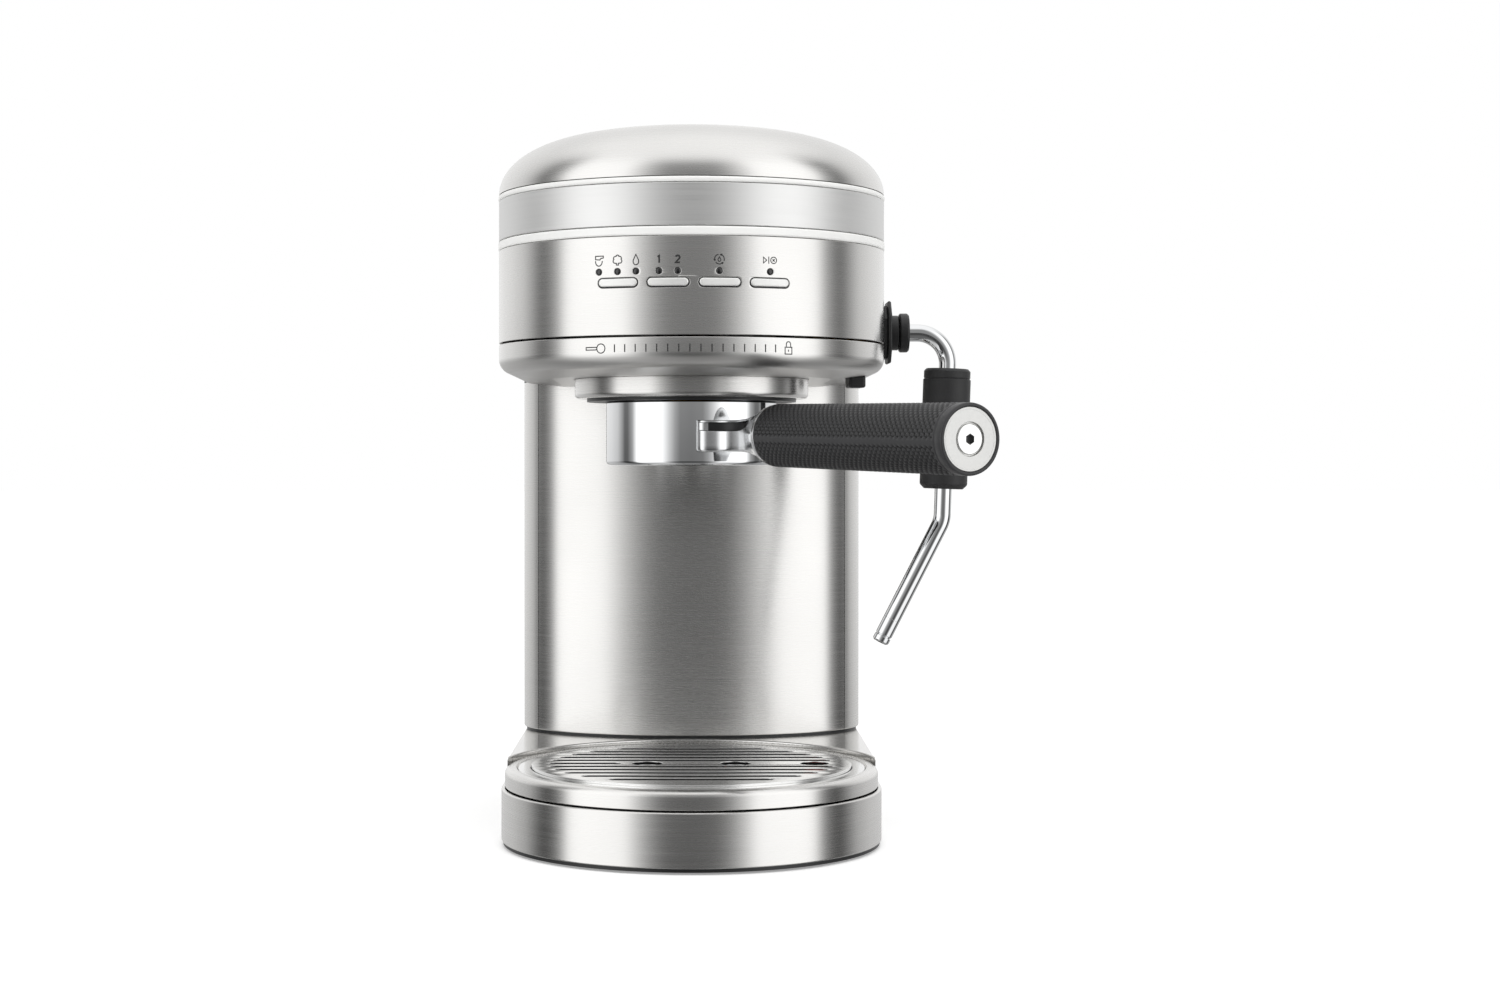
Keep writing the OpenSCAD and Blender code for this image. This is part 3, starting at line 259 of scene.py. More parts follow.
@cache
def finishes():
    """Every finish of the machine by its short name."""
    s = bpy.context.scene.espresso_finish
    brushed = partial(brushed_steel, colour=s.steel, roughness=s.steel_roughness, streak=s.streak / MM)
    # Buffed or plated metal: near a mirror, with a slow hand-polished waviness and faint haze
    polished = partial(grained, grain=1 / 0.06, detail=1.0, tones=(0.97, 1.02), metallic=1.0, relief=0.02,
                       depth=1.0, haze=(0.8, 1.3))
    # Injection-moulded plastic or rubber: an even colour with the fine spark-eroded grain of its mould
    moulded = partial(grained, detail=2.0, tones=(0.85, 1.15), relief=0.25, depth=0.05, haze=(0.92, 1.08),
                      haze_scale=45.0)
    # Sand- or die-cast metal: dull, with a pebbly skin
    cast = partial(grained, detail=3.0, tones=(0.8, 1.1), metallic=1.0, relief=0.4, depth=0.1)
    return {
        # Satin stainless sheet, wet brushed: lights stand as soft upright bands
        "steel": brushed("Brushed_stainless_steel"),
        # The lower shell is brushed round its wall and blasted where it curves in
        "shell": brushed("Brushed_and_blasted_stainless", satin_below=low("head_lower_shell").z + 8.5),
        # The same sheet brushed straight, for flat and gently bent sheets
        "sheet": brushed("Straight_brushed_stainless", circling=False),
        # The deck's sheet is left brighter and mirrors what stands on it
        "deck": brushed("Bright_rolled_stainless", roughness=0.17, smear=0.0, circling=False),
        # The same sheet bead blasted: a flat, even grey with no sharp bands
        "blasted": brushed("Blasted_stainless_steel", colour=s.bright, roughness=0.46, smear=0.0),
        # Stamped, then buffed stainless: bright with softened edges
        "buffed": polished("Buffed_stainless_steel", s.bright, 0.13),
        # Satin-anodised trims and buttons: a pale, even white whose bands are faint
        "trim": polished("Satin_anodised_trim", linear("fbfbf9"), 0.5, relief=0.01, metallic=0.2),
        "button": polished("Satin_anodised_button", linear("f1f1ef"), 0.4, relief=0.01, metallic=0.45),
        # The neck's plating is duller than the cup's: soft pale planes
        "satin_chrome": polished("Satin_chrome_plate", s.chrome, 0.2),
        # Chrome-plated brass forging and tube: a dark and white mirror
        "chrome": polished("Chrome_plate", s.chrome, 0.045),
        # Zinc-plated screw heads
        "zinc": polished("Zinc_plated_steel", linear("a9abac"), 0.35),
        # Clear-anodised aluminium turned on a lathe: fine rings about the disc's own axis
        "disc": grained("Turned_aluminium", s.disc, 0.36, 1 / 0.9, 2.0, (0.92, 1.04), metallic=1.0,
                        relief=0.15, depth=0.03, groove=0.5),
        # Black ABS with a fine matt grain
        "abs": moulded("Black_ABS", s.plastic, 0.42, 0.35),
        # Glass-filled nylon of the handle: greyer ridges, with painted shade darkening the dimples to black
        "nylon": moulded("Black_nylon", shaded(s.plastic, 2.7), 0.42, 0.3, relief=0.12, pits="sunk"),
        # Silicone rubber: duller and softer than the plastic
        "rubber": moulded("Black_silicone_rubber", s.rubber, 0.55, 0.5, relief=0.15),
        # Smoked lens over a lamp
        "lens": moulded("Smoked_lens", linear("101012"), 0.12, 0.2, relief=0.02, **{"Coat Weight": 0.6}),
        # Printed marking ink
        "ink": moulded("Dark_printing_ink", s.ink, 0.5, 0.2, relief=0.05),
        # Smoked clear tank plastic: glossy and see-through, with a faint haze
        "tank": grained("Smoked_clear_plastic", s.tank, 0.08, 1 / 0.03, 2.0, (0.95, 1.05), haze=(0.625, 1.5),
                        **{"Transmission Weight": 1.0, "IOR": 1.49}),
        # Small colour-coded mouldings
        "red": moulded("Red_ABS", linear("a3271b"), 0.4, 0.35),
        "white": moulded("White_acetal", linear("d9d9d4"), 0.35, 0.4, relief=0.1),
        # Frame sheet with a baked black paint
        "paint": moulded("Baked_black_paint", linear("202224"), 0.35, 0.8, relief=0.1),
        "brass": cast("Cast_brass", linear("b08d57"), 0.35, 0.8),
        "aluminium": cast("Cast_aluminium", linear("b9babb"), 0.42, 0.9),
        "dark_steel": cast("Phosphated_steel", linear("5a5c5e"), 0.45, 0.6),
        "board": moulded("Green_laminate", linear("1f5a33"), 0.4, 1.2, relief=0.1),
        "hose": moulded("Clear_silicone_hose", linear("c9c9c3"), 0.3, 0.6, relief=0.05,
                        **{"Transmission Weight": 0.35}),
    }


# ---- Pieces ----

def linked(name, data):
    """New object of the scene."""
    obj = bpy.data.objects.new(name, data)
    bpy.context.scene.collection.objects.link(obj)
    return obj


def evaluated_mesh(obj):
    """Plain mesh of an object with its modifiers, after which the object is removed."""
    bpy.context.view_layer.update()
    mesh = bpy.data.meshes.new_from_object(obj.evaluated_get(bpy.context.evaluated_depsgraph_get()))
    bpy.data.objects.remove(obj)
    return mesh


def dress(mesh, key):
    """Gives a mesh its finish."""
    mesh.materials.clear()
    mesh.materials.append(finishes()[key])


def finish_nodes(**keys):
    """Finishes the frame nodes that keep their own mesh."""
    for node, key in keys.items():
        dress(frame["nodes"][node].data, key)


def add_piece(name, mesh, key, body="machine", even=True):
    """Adds a finished mesh as a piece on a body, in place of the frame node of its name if there is one."""
    mesh.name = name
    dress(mesh, key)
    obj = linked(name, mesh)
    if even:
        obj.modifiers.new("Even shading", "WEIGHTED_NORMAL").keep_sharp = True
    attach(obj, body)
    if name in frame["nodes"]:
        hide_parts(name)


# ---- Places ----

def at(x=0.0, y=0.0, z=0.0):
    """Matrix of a shift."""
    return Matrix.Translation((x, y, z))


def spun(degrees, axis="Z"):
    """Matrix of a turn."""
    return Matrix.Rotation(math.radians(degrees), 4, axis)


ALONG_X = spun(90, "Y")
FACING_X = Matrix(((0, 0, 1, 0), (1, 0, 0, 0), (0, 1, 0, 0), (0, 0, 0, 1)))


def moved(mesh, matrix):
    """The mesh moved by a matrix whose shift is in millimetres."""
    shift = matrix.copy()
    shift.translation *= MM
    mesh.transform(shift)
    return mesh


def on_handle(along):
    """Matrix from the handle's own frame, X out along the grip, to the machine's."""
    return spun(HANDLE_TURN) @ at(GRIP_START, 0, GRIP_Z) @ spun(GRIP_DROOP, "Y") @ at(along)


# ---- Outlines ----

def arc(radius, start=0.0, end=360.0, steps=28, centre=(0, 0)):
    """Points on an arc in degrees, both ends included."""
    angles = [math.radians(start + (end - start) * k / steps) for k in range(steps + 1)]
    return [(centre[0] + radius * math.cos(a), centre[1] + radius * math.sin(a)) for a in angles]


def circle(radius, centre=(0, 0), steps=48):
    """Closed outline of a circle."""
    return arc(radius, 0, 360, steps, centre)[:-1]


def pill(width, height, centre=(0, 0), steps=12):
    """Closed outline of a slot with half round ends."""
    r = height / 2
    reach = width / 2 - r
    x, y = centre
    return arc(r, -90, 90, steps, (x + reach, y)) + arc(r, 90, 270, steps, (x - reach, y))


def rounded(corners, edge=0.0, steps=3):
    """Closed outline whose corners are arcs; a corner's own radius may follow its two numbers."""
    outline = []
    for k, corner in enumerate(corners):
        here = Vector(corner[:2])
        before = Vector(corners[k - 1][:2]) - here
        after = Vector(corners[(k + 1) % len(corners)][:2]) - here
        radius = corner[2] if len(corner) > 2 else edge
        half = before.angle(after) / 2
        if radius < TINY or half > math.radians(88):
            outline.append(tuple(here))
            continue
        reach = min(radius / math.tan(half), 0.48 * before.length, 0.48 * after.length)
        radius = reach * math.tan(half)
        centre = here + (before.normalized() + after.normalized()).normalized() * radius / math.sin(half)
        start = here + before.normalized() * reach - centre
        end = here + after.normalized() * reach - centre
        turn = math.atan2(start.cross(end), start.dot(end))
        count = max(1, round(steps * abs(turn) / math.radians(90)) if radius > 2 else steps)
        for i in range(count + 1):
            outline.append(tuple(centre + Matrix.Rotation(turn * i / count, 2) @ start))
    return outline


def casing_stations(radius, back, corner=0.0):
    """Stations (x, y, normal x, normal y) round the casing from the right back to the left back.

    The sides are straight and the front is a half circle. With corners it also goes round behind, ready to
    be closed."""
    straight = back - corner
    sides = [(radius, straight, 1, 0), (radius, straight / 2, 1, 0)]
    stations = sides + [(radius * c, -radius * n, c, -n) for c, n in arc(1, 0, 180, 90)]
    stations += [(-x, y, -nx, ny) for x, y, nx, ny in sides[::-1]]
    if corner:
        for side, start in ((-1, 180), (1, 90)):
            stations += [(side * (radius - corner) + corner * c, straight + corner * n, c, n)
                         for c, n in arc(1, start, start - 90, 18)]
    return stations


# ---- Mesh tools ----

def tidy_mesh(mesh, sharp=38):
    """Merges doubles, points the faces outwards and shades smooth except across sharp edges."""
    work = bmesh.new()
    work.from_mesh(mesh)
    bmesh.ops.remove_doubles(work, verts=work.verts, dist=2e-7)
    bmesh.ops.dissolve_degenerate(work, edges=work.edges, dist=1e-8)
    bmesh.ops.recalc_face_normals(work, faces=work.faces)
    work.to_mesh(mesh)
    work.free()
    mesh.shade_smooth()
    mesh.set_sharp_from_angle(angle=math.radians(sharp))
    return mesh


def solid(points, faces, sharp=38):
    """Closed mesh from points in millimetres."""
    mesh = bpy.data.meshes.new("solid")
    mesh.from_pydata([Vector(p) * MM for p in points], [], faces)
    return tidy_mesh(mesh, sharp)


def joined(*meshes):
    """One mesh of several, which are removed; each keeps its own shading."""
    work = bmesh.new()
    for mesh in meshes:
        work.from_mesh(mesh)
        bpy.data.meshes.remove(mesh)
    result = bpy.data.meshes.new("joined")
    work.to_mesh(result)
    work.free()
    return result


def loft(rings, closed=False, caps=None, skip=(), sharp=38):
    """Solid through rings of points that each have the same count, closed into a loop or capped at its ends.

    caps are the faces of one end where they aren't a single one; skip are the sides that lie on the axis."""
    count = len(rings[0])
    faces = []
    for s in range(len(rings) if closed else len(rings) - 1):
        a, b = s * count, (s + 1) % len(rings) * count
        faces += [(a + k, b + k, b + (k + 1) % count, a + (k + 1) % count)
                  for k in range(count) if k not in skip]
    last = (len(rings) - 1) * count
    for cap in () if closed else caps or [range(count)]:
        faces += [tuple(cap), tuple(last + k for k in cap)]
    return solid([p for ring in rings for p in ring], faces, sharp)


def lathe(corners, edge=0.0, turns=96, steps=3):
    """Solid turned about Z from the corners of its half section (radius, height), with its edges rounded."""
    outline = rounded(corners, edge, steps)
    on_axis = [r < TINY for r, _ in outline]
    skip = {k for k in range(len(outline)) if on_axis[k] and on_axis[(k + 1) % len(outline)]}
    return loft([[(r * c, r * n, z) for r, z in outline] for c, n in circle(1, steps=turns)], True, skip=skip)


def sweep(stations, outline, closed=False):
    """Solid of a closed outline (distance out, height) carried round the stations."""
    rings = [[(x + nx * out, y + ny * out, z) for out, z in outline] for x, y, nx, ny in stations]
    return loft(rings, closed)


def prism(outline, bottom, top, edge, steps=3):
    """Upright solid of a plan outline, with its top and bottom edges rounded by the radius given."""
    normals = []
    for k in range(len(outline)):
        along = Vector(outline[(k + 1) % len(outline)]) - Vector(outline[k - 1])
        normals.append(Vector((along.y, -along.x)).normalized())
    area = sum(a[0] * b[1] - b[0] * a[1] for a, b in zip(outline, outline[1:] + outline[:1]))
    side = 1 if area > 0 else -1
    fillet = [(side * edge * (1 - c), edge * (1 - n)) for c, n in arc(1, 0, 90, steps)]
    layers = [(inset, bottom + rise) for inset, rise in fillet[::-1]]
    layers += [(inset, top - rise) for inset, rise in fillet]
    return loft([[(p[0] - n.x * inset, p[1] - n.y * inset, z) for p, n in zip(outline, normals)]
                 for inset, z in layers])


def block(lowest, highest):
    """Box between two corners."""
    points = [(x, y, z) for x in (lowest[0], highest[0]) for y in (lowest[1], highest[1])
              for z in (lowest[2], highest[2])]
    return solid(points, [(0, 1, 3, 2), (4, 6, 7, 5), (0, 4, 5, 1), (2, 3, 7, 6), (0, 2, 6, 4), (1, 5, 7, 3)])


def plate(loops, thickness, edge, steps=2):
    """Flat plate with holes and rounded edges from closed loops; it is centred on z = 0."""
    curve = bpy.data.curves.new("plate", "CURVE")
    curve.dimensions = "2D"
    curve.fill_mode = "BOTH"
    curve.extrude = (thickness / 2 - edge) * MM
    curve.bevel_depth = edge * MM
    curve.bevel_resolution = steps
    curve.offset = -edge * MM
    for loop in loops:
        spline = curve.splines.new("POLY")
        spline.points.add(len(loop) - 1)
        for point, (x, y) in zip(spline.points, loop):
            point.co = (x * MM, y * MM, 0, 1)
        spline.use_cyclic_u = True
    mesh = evaluated_mesh(linked("plate", curve))
    bpy.data.curves.remove(curve)
    return tidy_mesh(mesh)


def cut(mesh, *cutters, operation="DIFFERENCE"):
    """The mesh with the cutters taken away, or added."""
    body = linked("body", mesh)
    tools = [linked("tool", cutter) for cutter in cutters]
    for tool in tools:
        modifier = body.modifiers.new("Cut", "BOOLEAN")
        modifier.object = tool
        modifier.operation = operation
        modifier.solver = "MANIFOLD"
    result = evaluated_mesh(body)
    for tool in tools:
        bpy.data.objects.remove(tool)
    return tidy_mesh(result)


def wrap_round_head(mesh):
    """Bends a flat plate (X along the wall, Y up, Z outwards) round the head and keeps its smooth normals."""
    half = HEAD_R * math.pi / 2
    strips = 90
    work = bmesh.new()
    work.from_mesh(mesh)
    for k in range(strips + 1):
        bmesh.ops.bisect_plane(work, geom=work.verts[:] + work.edges[:] + work.faces[:], dist=1e-7,
                               plane_co=(half * (-1 + 2 * k / strips) * MM, 0, 0), plane_no=(1, 0, 0))
    work.to_mesh(mesh)
    work.free()
    helper = linked("flat", mesh)
    helper.modifiers.new("Even shading", "WEIGHTED_NORMAL").keep_sharp = True
    flat = evaluated_mesh(helper)
    bpy.data.meshes.remove(mesh)

    def place(x):
        """Foot of a point on the wall, with the wall's directions along and out."""
        a = x / HEAD_R
        foot, along = Vector((math.sin(a), -math.cos(a), 0)) * HEAD_R, Vector((math.cos(a), math.sin(a), 0))
        if abs(x) > half:
            side = math.copysign(1, x)
            foot, along = Vector((side * HEAD_R, abs(x) - half, 0)), Vector((0, side, 0))
        return foot, along, Vector((along.y, -along.x, 0))

    normals = []
    corners = [v.co / MM for v in flat.vertices]
    for loop, corner in zip(flat.loops, flat.corner_normals):
        _, along, out = place(corners[loop.vertex_index].x)
        n = corner.vector
        normals.append(along * n.x + Vector((0, 0, n.y)) + out * n.z)
    for vertex, p in zip(flat.vertices, corners):
        foot, _, out = place(p.x)
        vertex.co = (foot + out * p.z + Vector((0, 0, p.y))) * MM
    flat.normals_split_custom_set(normals)
    return flat


def grown(name, key, sizes, build):
    """Mesh of a Geometry Nodes tree in a finish: its inputs hold the sizes, and build adds its nodes."""
    tree = bpy.data.node_groups.new(name, "GeometryNodeTree")
    tree.interface.new_socket("Geometry", in_out="OUTPUT", socket_type="NodeSocketGeometry")
    kinds = {int: "Int", float: "Float", tuple: "Vector", bpy.types.Material: "Material"}
    obj = linked(name, bpy.data.meshes.new(name))
    modifier = obj.modifiers.new("Build", "NODES")
    values = {**sizes, "Material": finishes()[key]}
    names = {label: tree.interface.new_socket(
        label, in_out="INPUT", socket_type="NodeSocket" + kinds[type(value)]).identifier
        for label, value in values.items()}
    node = partial(add_node, tree)
    given = node("NodeGroupInput").outputs
    real = node("GeometryNodeRealizeInstances", [build(node, given)])
    finished = node("GeometryNodeSetMaterial", {"Geometry": real, "Material": given["Material"]})
    node("NodeGroupOutput", [finished])
    modifier.node_group = tree
    for label, value in values.items():
        modifier[names[label]] = value
    return evaluated_mesh(obj)


# ---- Settings ----

class EspressoFinish(bpy.types.PropertyGroup):
    """Colours and finishes of the machine."""

    steel: FloatVectorProperty(
        name="Steel", description="Colour of the brushed stainless casing",
        subtype="COLOR", min=0, max=1, default=linear("dcdbd9"))
    bright: FloatVectorProperty(
        name="Bright steel", description="Colour of the plain band, the grate and the bolt",
        subtype="COLOR", min=0, max=1, default=linear("e9e9e8"))
    chrome: FloatVectorProperty(
        name="Chrome", description="Colour of the chrome plate",
        subtype="COLOR", min=0, max=1, default=linear("e2e3e4"))
    disc: FloatVectorProperty(
        name="End disc", description="Colour of the disc in the handle's end",
        subtype="COLOR", min=0, max=1, default=linear("d3d3d1"))
    plastic: FloatVectorProperty(
        name="Black plastic", description="Colour of the black mouldings",
        subtype="COLOR", min=0, max=1, default=linear("1a1a1b"))
    rubber: FloatVectorProperty(
        name="Rubber", description="Colour of the wand's grip, the feet and the seals",
        subtype="COLOR", min=0, max=1, default=linear("252526"))
    tank: FloatVectorProperty(
        name="Tank", description="Tint of the clear water tank",
        subtype="COLOR", min=0, max=1, default=linear("8d949b"))
    ink: FloatVectorProperty(
        name="Ink", description="Colour of the printed marks",
        subtype="COLOR", min=0, max=1, default=linear("262627"))
    steel_roughness: FloatProperty(
        name="Steel roughness", description="How soft the lights are on the brushed steel",
        min=0.05, max=0.8, default=0.27)
    streak: FloatProperty(
        name="Brushing width", description="Width of one brushing streak, drawn about twice as wide as real "
        "so that it shows", unit="LENGTH", min=0.0002, max=0.003, default=0.0007)


class EspressoDetail(bpy.types.PropertyGroup):
    """Sizes of the machine's fine details."""

    edge: FloatProperty(
        name="Edge", description="Radius of the pressed sheet edges",
        unit="LENGTH", min=0.0001, max=0.001, default=0.0004)
    knurl_length: FloatProperty(
        name="Knurl length", description="Distance along the grip between dimples of one row",
        unit="LENGTH", min=0.0015, max=0.005, default=0.0032)
    knurl_width: FloatProperty(
        name="Knurl width", description="Distance round the grip between two rows of dimples",
        unit="LENGTH", min=0.0008, max=0.004, default=0.0015)
    knurl_depth: FloatProperty(
        name="Knurl depth", description="Depth of a dimple in the grip",
        unit="LENGTH", min=0.0001, max=0.001, default=0.0006)
    stripe: FloatProperty(
        name="Plain stripe", description="Width of the two plain stripes along the grip",
        unit="LENGTH", min=0, max=0.006, default=0.0026)
    ticks: IntProperty(
        name="Ticks", description="Number of ticks on the holder's scale", min=3, max=30, default=16)
    tick_step: FloatProperty(
        name="Tick step", description="Angle between two ticks",
        subtype="ANGLE", min=0.01, max=0.2, default=math.radians(3.05))


# ---- Base ----

class ESPRESSO_OT_base(bpy.types.Operator):
    """Makes the base: rubber feet, floor pan, brushed band and the deck round the tray"""

    bl_idname = "espresso.base"
    bl_label = "Base"

    def execute(self, context):
        bottom, top = heights("base_band")
        wall = rounded([(0, bottom), (0, top), (-WALL, top), (-WALL, bottom)], 0.7, 4)
        band = sweep(casing_stations(BASE_R, BASE_BACK, BACK_CORNER), wall, True)
        inlet_low, inlet_high = low("mains_inlet"), high("mains_inlet")
        opening = block((inlet_low.x + 2, BASE_BACK - 2 * WALL, inlet_low.z + 1.5),
                        (inlet_high.x - 2, BASE_BACK + WALL, inlet_high.z - 1.5))
        add_piece("base_band", cut(band, opening), "steel")
        self.deck()
        finish_nodes(floor_pan="abs", feet="rubber", case_screws="zinc", tank_seat="abs")
        return {"FINISHED"}

    def deck(self):
        """The deck is a plate with a side wall, open in front where the tray's well cuts it."""
        bottom, top = heights("base_deck")
        start_y = low("base_deck").y
        well = high("tray_rim").x + 0.45
        first = math.degrees(math.asin(start_y / well))
        corner = BACK_CORNER - (BASE_R - DECK_R)
        side_x, centre_y = DECK_R - corner, BASE_BACK - BACK_CORNER
        outline = arc(well, first, 180 - first, 90) + [(-DECK_R, centre_y - 60)]
        outline += arc(corner, 180, 90, 16, (-side_x, centre_y)) + arc(corner, 90, 0, 16, (side_x, centre_y))
        sheet = plate([outline + [(DECK_R, centre_y - 60)]], WALL, 0.85, 4)
        skirt_start = start_y + 0.4
        path = [(DECK_R, skirt_start, 1, 0)]
        for side, start in ((1, 0), (-1, 90)):
            path += [(side * side_x + corner * c, centre_y + corner * n, c, n)
                     for c, n in arc(1, start, start + 90, 16)]
        path.append((-DECK_R, skirt_start, -1, 0))
        under = top - 0.6
        wall = rounded([(-0.05, bottom), (-0.05, under), (-1.8, under), (-1.8, bottom)], 0.3)
        room = lathe([(0, bottom - 2), (well, bottom - 2), (well, top + 2), (0, top + 2)], turns=180)
        lining = well + 0.9
        tip = math.degrees(math.acos((DECK_R - 0.5) / lining))
        liner = prism(arc(well, tip, 180 - tip, 90) + arc(lining, 180 - tip, tip, 90), bottom, under, 0.2, 2)
        side = cut(sweep(path, wall), room)
        add_piece("base_deck", joined(moved(sheet, at(z=top - WALL / 2)), side, liner), "deck")


# ---- Column ----

def column_path():
    """Stations along the column, right to left: a bulged front that runs into flanks and tight corners."""
    bulge_r, bulge_end, seam_at, gap = 135.0, 22.7, 50.0, 0.2
    seam = high("column_front").x
    slope, turn = math.sin(math.radians(bulge_end)), math.sin(math.radians(seam_at))
    flank_r = (seam - bulge_r * slope) / (turn - slope)
    corner_r = (COLUMN_R - seam) / (1 - turn)
    centre = Vector((0, low("column_front").y + bulge_r))
    half = [(0.0, low("column_front").y, 0.0, -1.0)]
    before = bulge_r
    for start, end, r, count in ((0.0, bulge_end, bulge_r, 24), (bulge_end, seam_at, flank_r, 14),
                                 (seam_at, 90.0, corner_r, 14)):
        a = math.radians(start)
        centre += (before - r) * Vector((math.sin(a), -math.cos(a)))
        before = r
        past_seam = start == seam_at
        first = start + gap * past_seam
        last = end - gap * (end == seam_at)
        for k in range(0 if past_seam else 1, count + 1):
            a = math.radians(first + (last - first) * k / count)
            out = Vector((math.sin(a), -math.cos(a)))
            half.append((*(centre + r * out), *out))
    half.append((COLUMN_R, HEAD_BACK, 1, 0))
    return half[:0:-1] + [(-x, y, -nx, ny) for x, y, nx, ny in half]


class ESPRESSO_OT_column(bpy.types.Operator):
    """Makes the column: its bulged front, the two side strips, the inner frame and the back wall"""

    bl_idname = "espresso.column"
    bl_label = "Column"

    def execute(self, context):
        bottom, top = low("column_front").z - 1.1, high("column_front").z + UNDERSIDE_RISE
        seam = high("column_front").x
        wall = rounded([(0, bottom, 0.8), (0, top), (-WALL, top), (-WALL, bottom)], 0.3, 4)
        path = column_path()
        front = [s for s in path if abs(s[0]) < seam]
        right, left = [s for s in path if s[0] > seam], [s for s in path if s[0] < -seam]
        add_piece("column_front", sweep(front, wall), "sheet")
        add_piece("column_sides", joined(sweep(right, wall), sweep(left, wall)), "sheet")
        finish_nodes(inner_frame="paint", back_wall="abs")
        return {"FINISHED"}


# ---- Head ----

def latch_place():
    """Matrix to the release latch, X pointing out from the machine's axis."""
    spot = middle("release_latch")
    return spun(math.degrees(math.atan2(spot.y, spot.x))) @ at(math.hypot(spot.x, spot.y))


class ESPRESSO_OT_head(bpy.types.Operator):
    """Makes the head's shells: lower shell, both bright trims, the plain band and the dome"""

    bl_idname = "espresso.head"
    bl_label = "Head shells"

    def execute(self, context):
        edge = context.scene.espresso_detail.edge / MM
        around = casing_stations(HEAD_R, HEAD_BACK)
        self.lower_shell(around, edge)
        for node, key in (("lower_trim", "trim"), ("upper_trim", "trim"), ("plain_band", "blasted")):
            z0, z1 = low(node).z + SHEET_GAP, high(node).z - SHEET_GAP
            proud = high(node).x - HEAD_R
            section = rounded([(proud, z0), (proud, z1), (-WALL, z1, 0.2), (-WALL, z0, 0.2)], 0.9, 5)
            if key == "blasted":
                section = rounded([(0, z0), (0, z1), (-WALL, z1), (-WALL, z0)], edge)
            add_piece(node, sweep(around, section), key)
        self.dome()
        return {"FINISHED"}

    def lower_shell(self, around, edge):
        """Pressed shell that curves in under the head, with the pocket that the release latch rises into."""
        z0, z1 = low("head_lower_shell").z, high("head_lower_shell").z - SEAM / 2
        curve, room = 9.0, 0.4
        foot = z0 + UNDERSIDE_RISE
        shell = sweep(around, rounded([
            (0, foot, curve), (0, z1, edge), (-WALL, z1, 0.3), (-WALL, foot + WALL, curve - WALL),
            (-24, z0 + WALL, 3.0), (-34, z0 + WALL, 0.3), (-34, z0, 0.3), (-24, z0, 3.0)], edge, 8))
        depth, width = LATCH_DEPTH / 2 + room, LATCH_WIDTH / 2 + room
        pocket = moved(block((-depth, -width, z0 - 1), (depth, width, foot + WALL + 1)), latch_place())
        add_piece("head_lower_shell", cut(shell, pocket), "shell")

    def dome(self):
        """Dome of one rounded section, carried round the head; its ends are filled strip by strip."""
        z = low("dome_cover").z + SHEET_GAP
        sections = []
        for inset in (0, WALL):
            rise, reach = high("dome_cover").z - z - inset, HEAD_R - inset
            section = [math.sin(math.radians(90 * (1 - k / 40))) for k in range(41)]
            sections.append([(reach * x, z + rise * max(0.0, 1 - x ** 3.2) ** (1 / 2.05)) for x in section])
        outline = sections[0] + sections[1][::-1]

        def ring(c, n, y=0.0):
            """The section turned to a direction and moved back."""
            return [(r * c, y - r * n, h) for r, h in outline]

        rings = [ring(1, 0, y) for y in (HEAD_BACK, HEAD_BACK / 2)]
        rings += [ring(c, n) for c, n in arc(1, 0, 180, 90)]
        rings += [ring(-1, 0, y) for y in (HEAD_BACK / 2, HEAD_BACK)]
        last = len(outline) - 1
        caps = [(k, k + 1, last - 1 - k, last - k) for k in range(len(sections[0]) - 1)]
        add_piece("dome_cover", loft(rings, caps=caps), "steel")


class ESPRESSO_OT_panel(bpy.types.Operator):
    """Makes the control panel, bent round the head from a flat plate with its slots and lamp holes"""

    bl_idname = "espresso.panel"
    bl_label = "Control panel"

    def execute(self, context):
        z0, z1 = low("control_panel").z + SEAM / 2, high("control_panel").z - SHEET_GAP
        half = HEAD_R * math.pi / 2 + HEAD_BACK
        slot_z, lamp_z = middle("button_shots").z, middle("indicator_lamps").z
        loops = [[(-half, z0), (half, z0), (half, z1), (-half, z1)]]
        loops += [pill(SLOT_WIDTH, SLOT_HEIGHT, (HEAD_R * math.radians(a), slot_z))
                  for a in BUTTON_ANGLES.values()]
        loops += [circle(1.42, (HEAD_R * math.radians(a), lamp_z), 24) for a in LAMP_ANGLES]
        flat = moved(plate(loops, WALL, 0.25), at(z=-WALL / 2))
        add_piece("control_panel", wrap_round_head(flat), "steel", even=False)
        return {"FINISHED"}


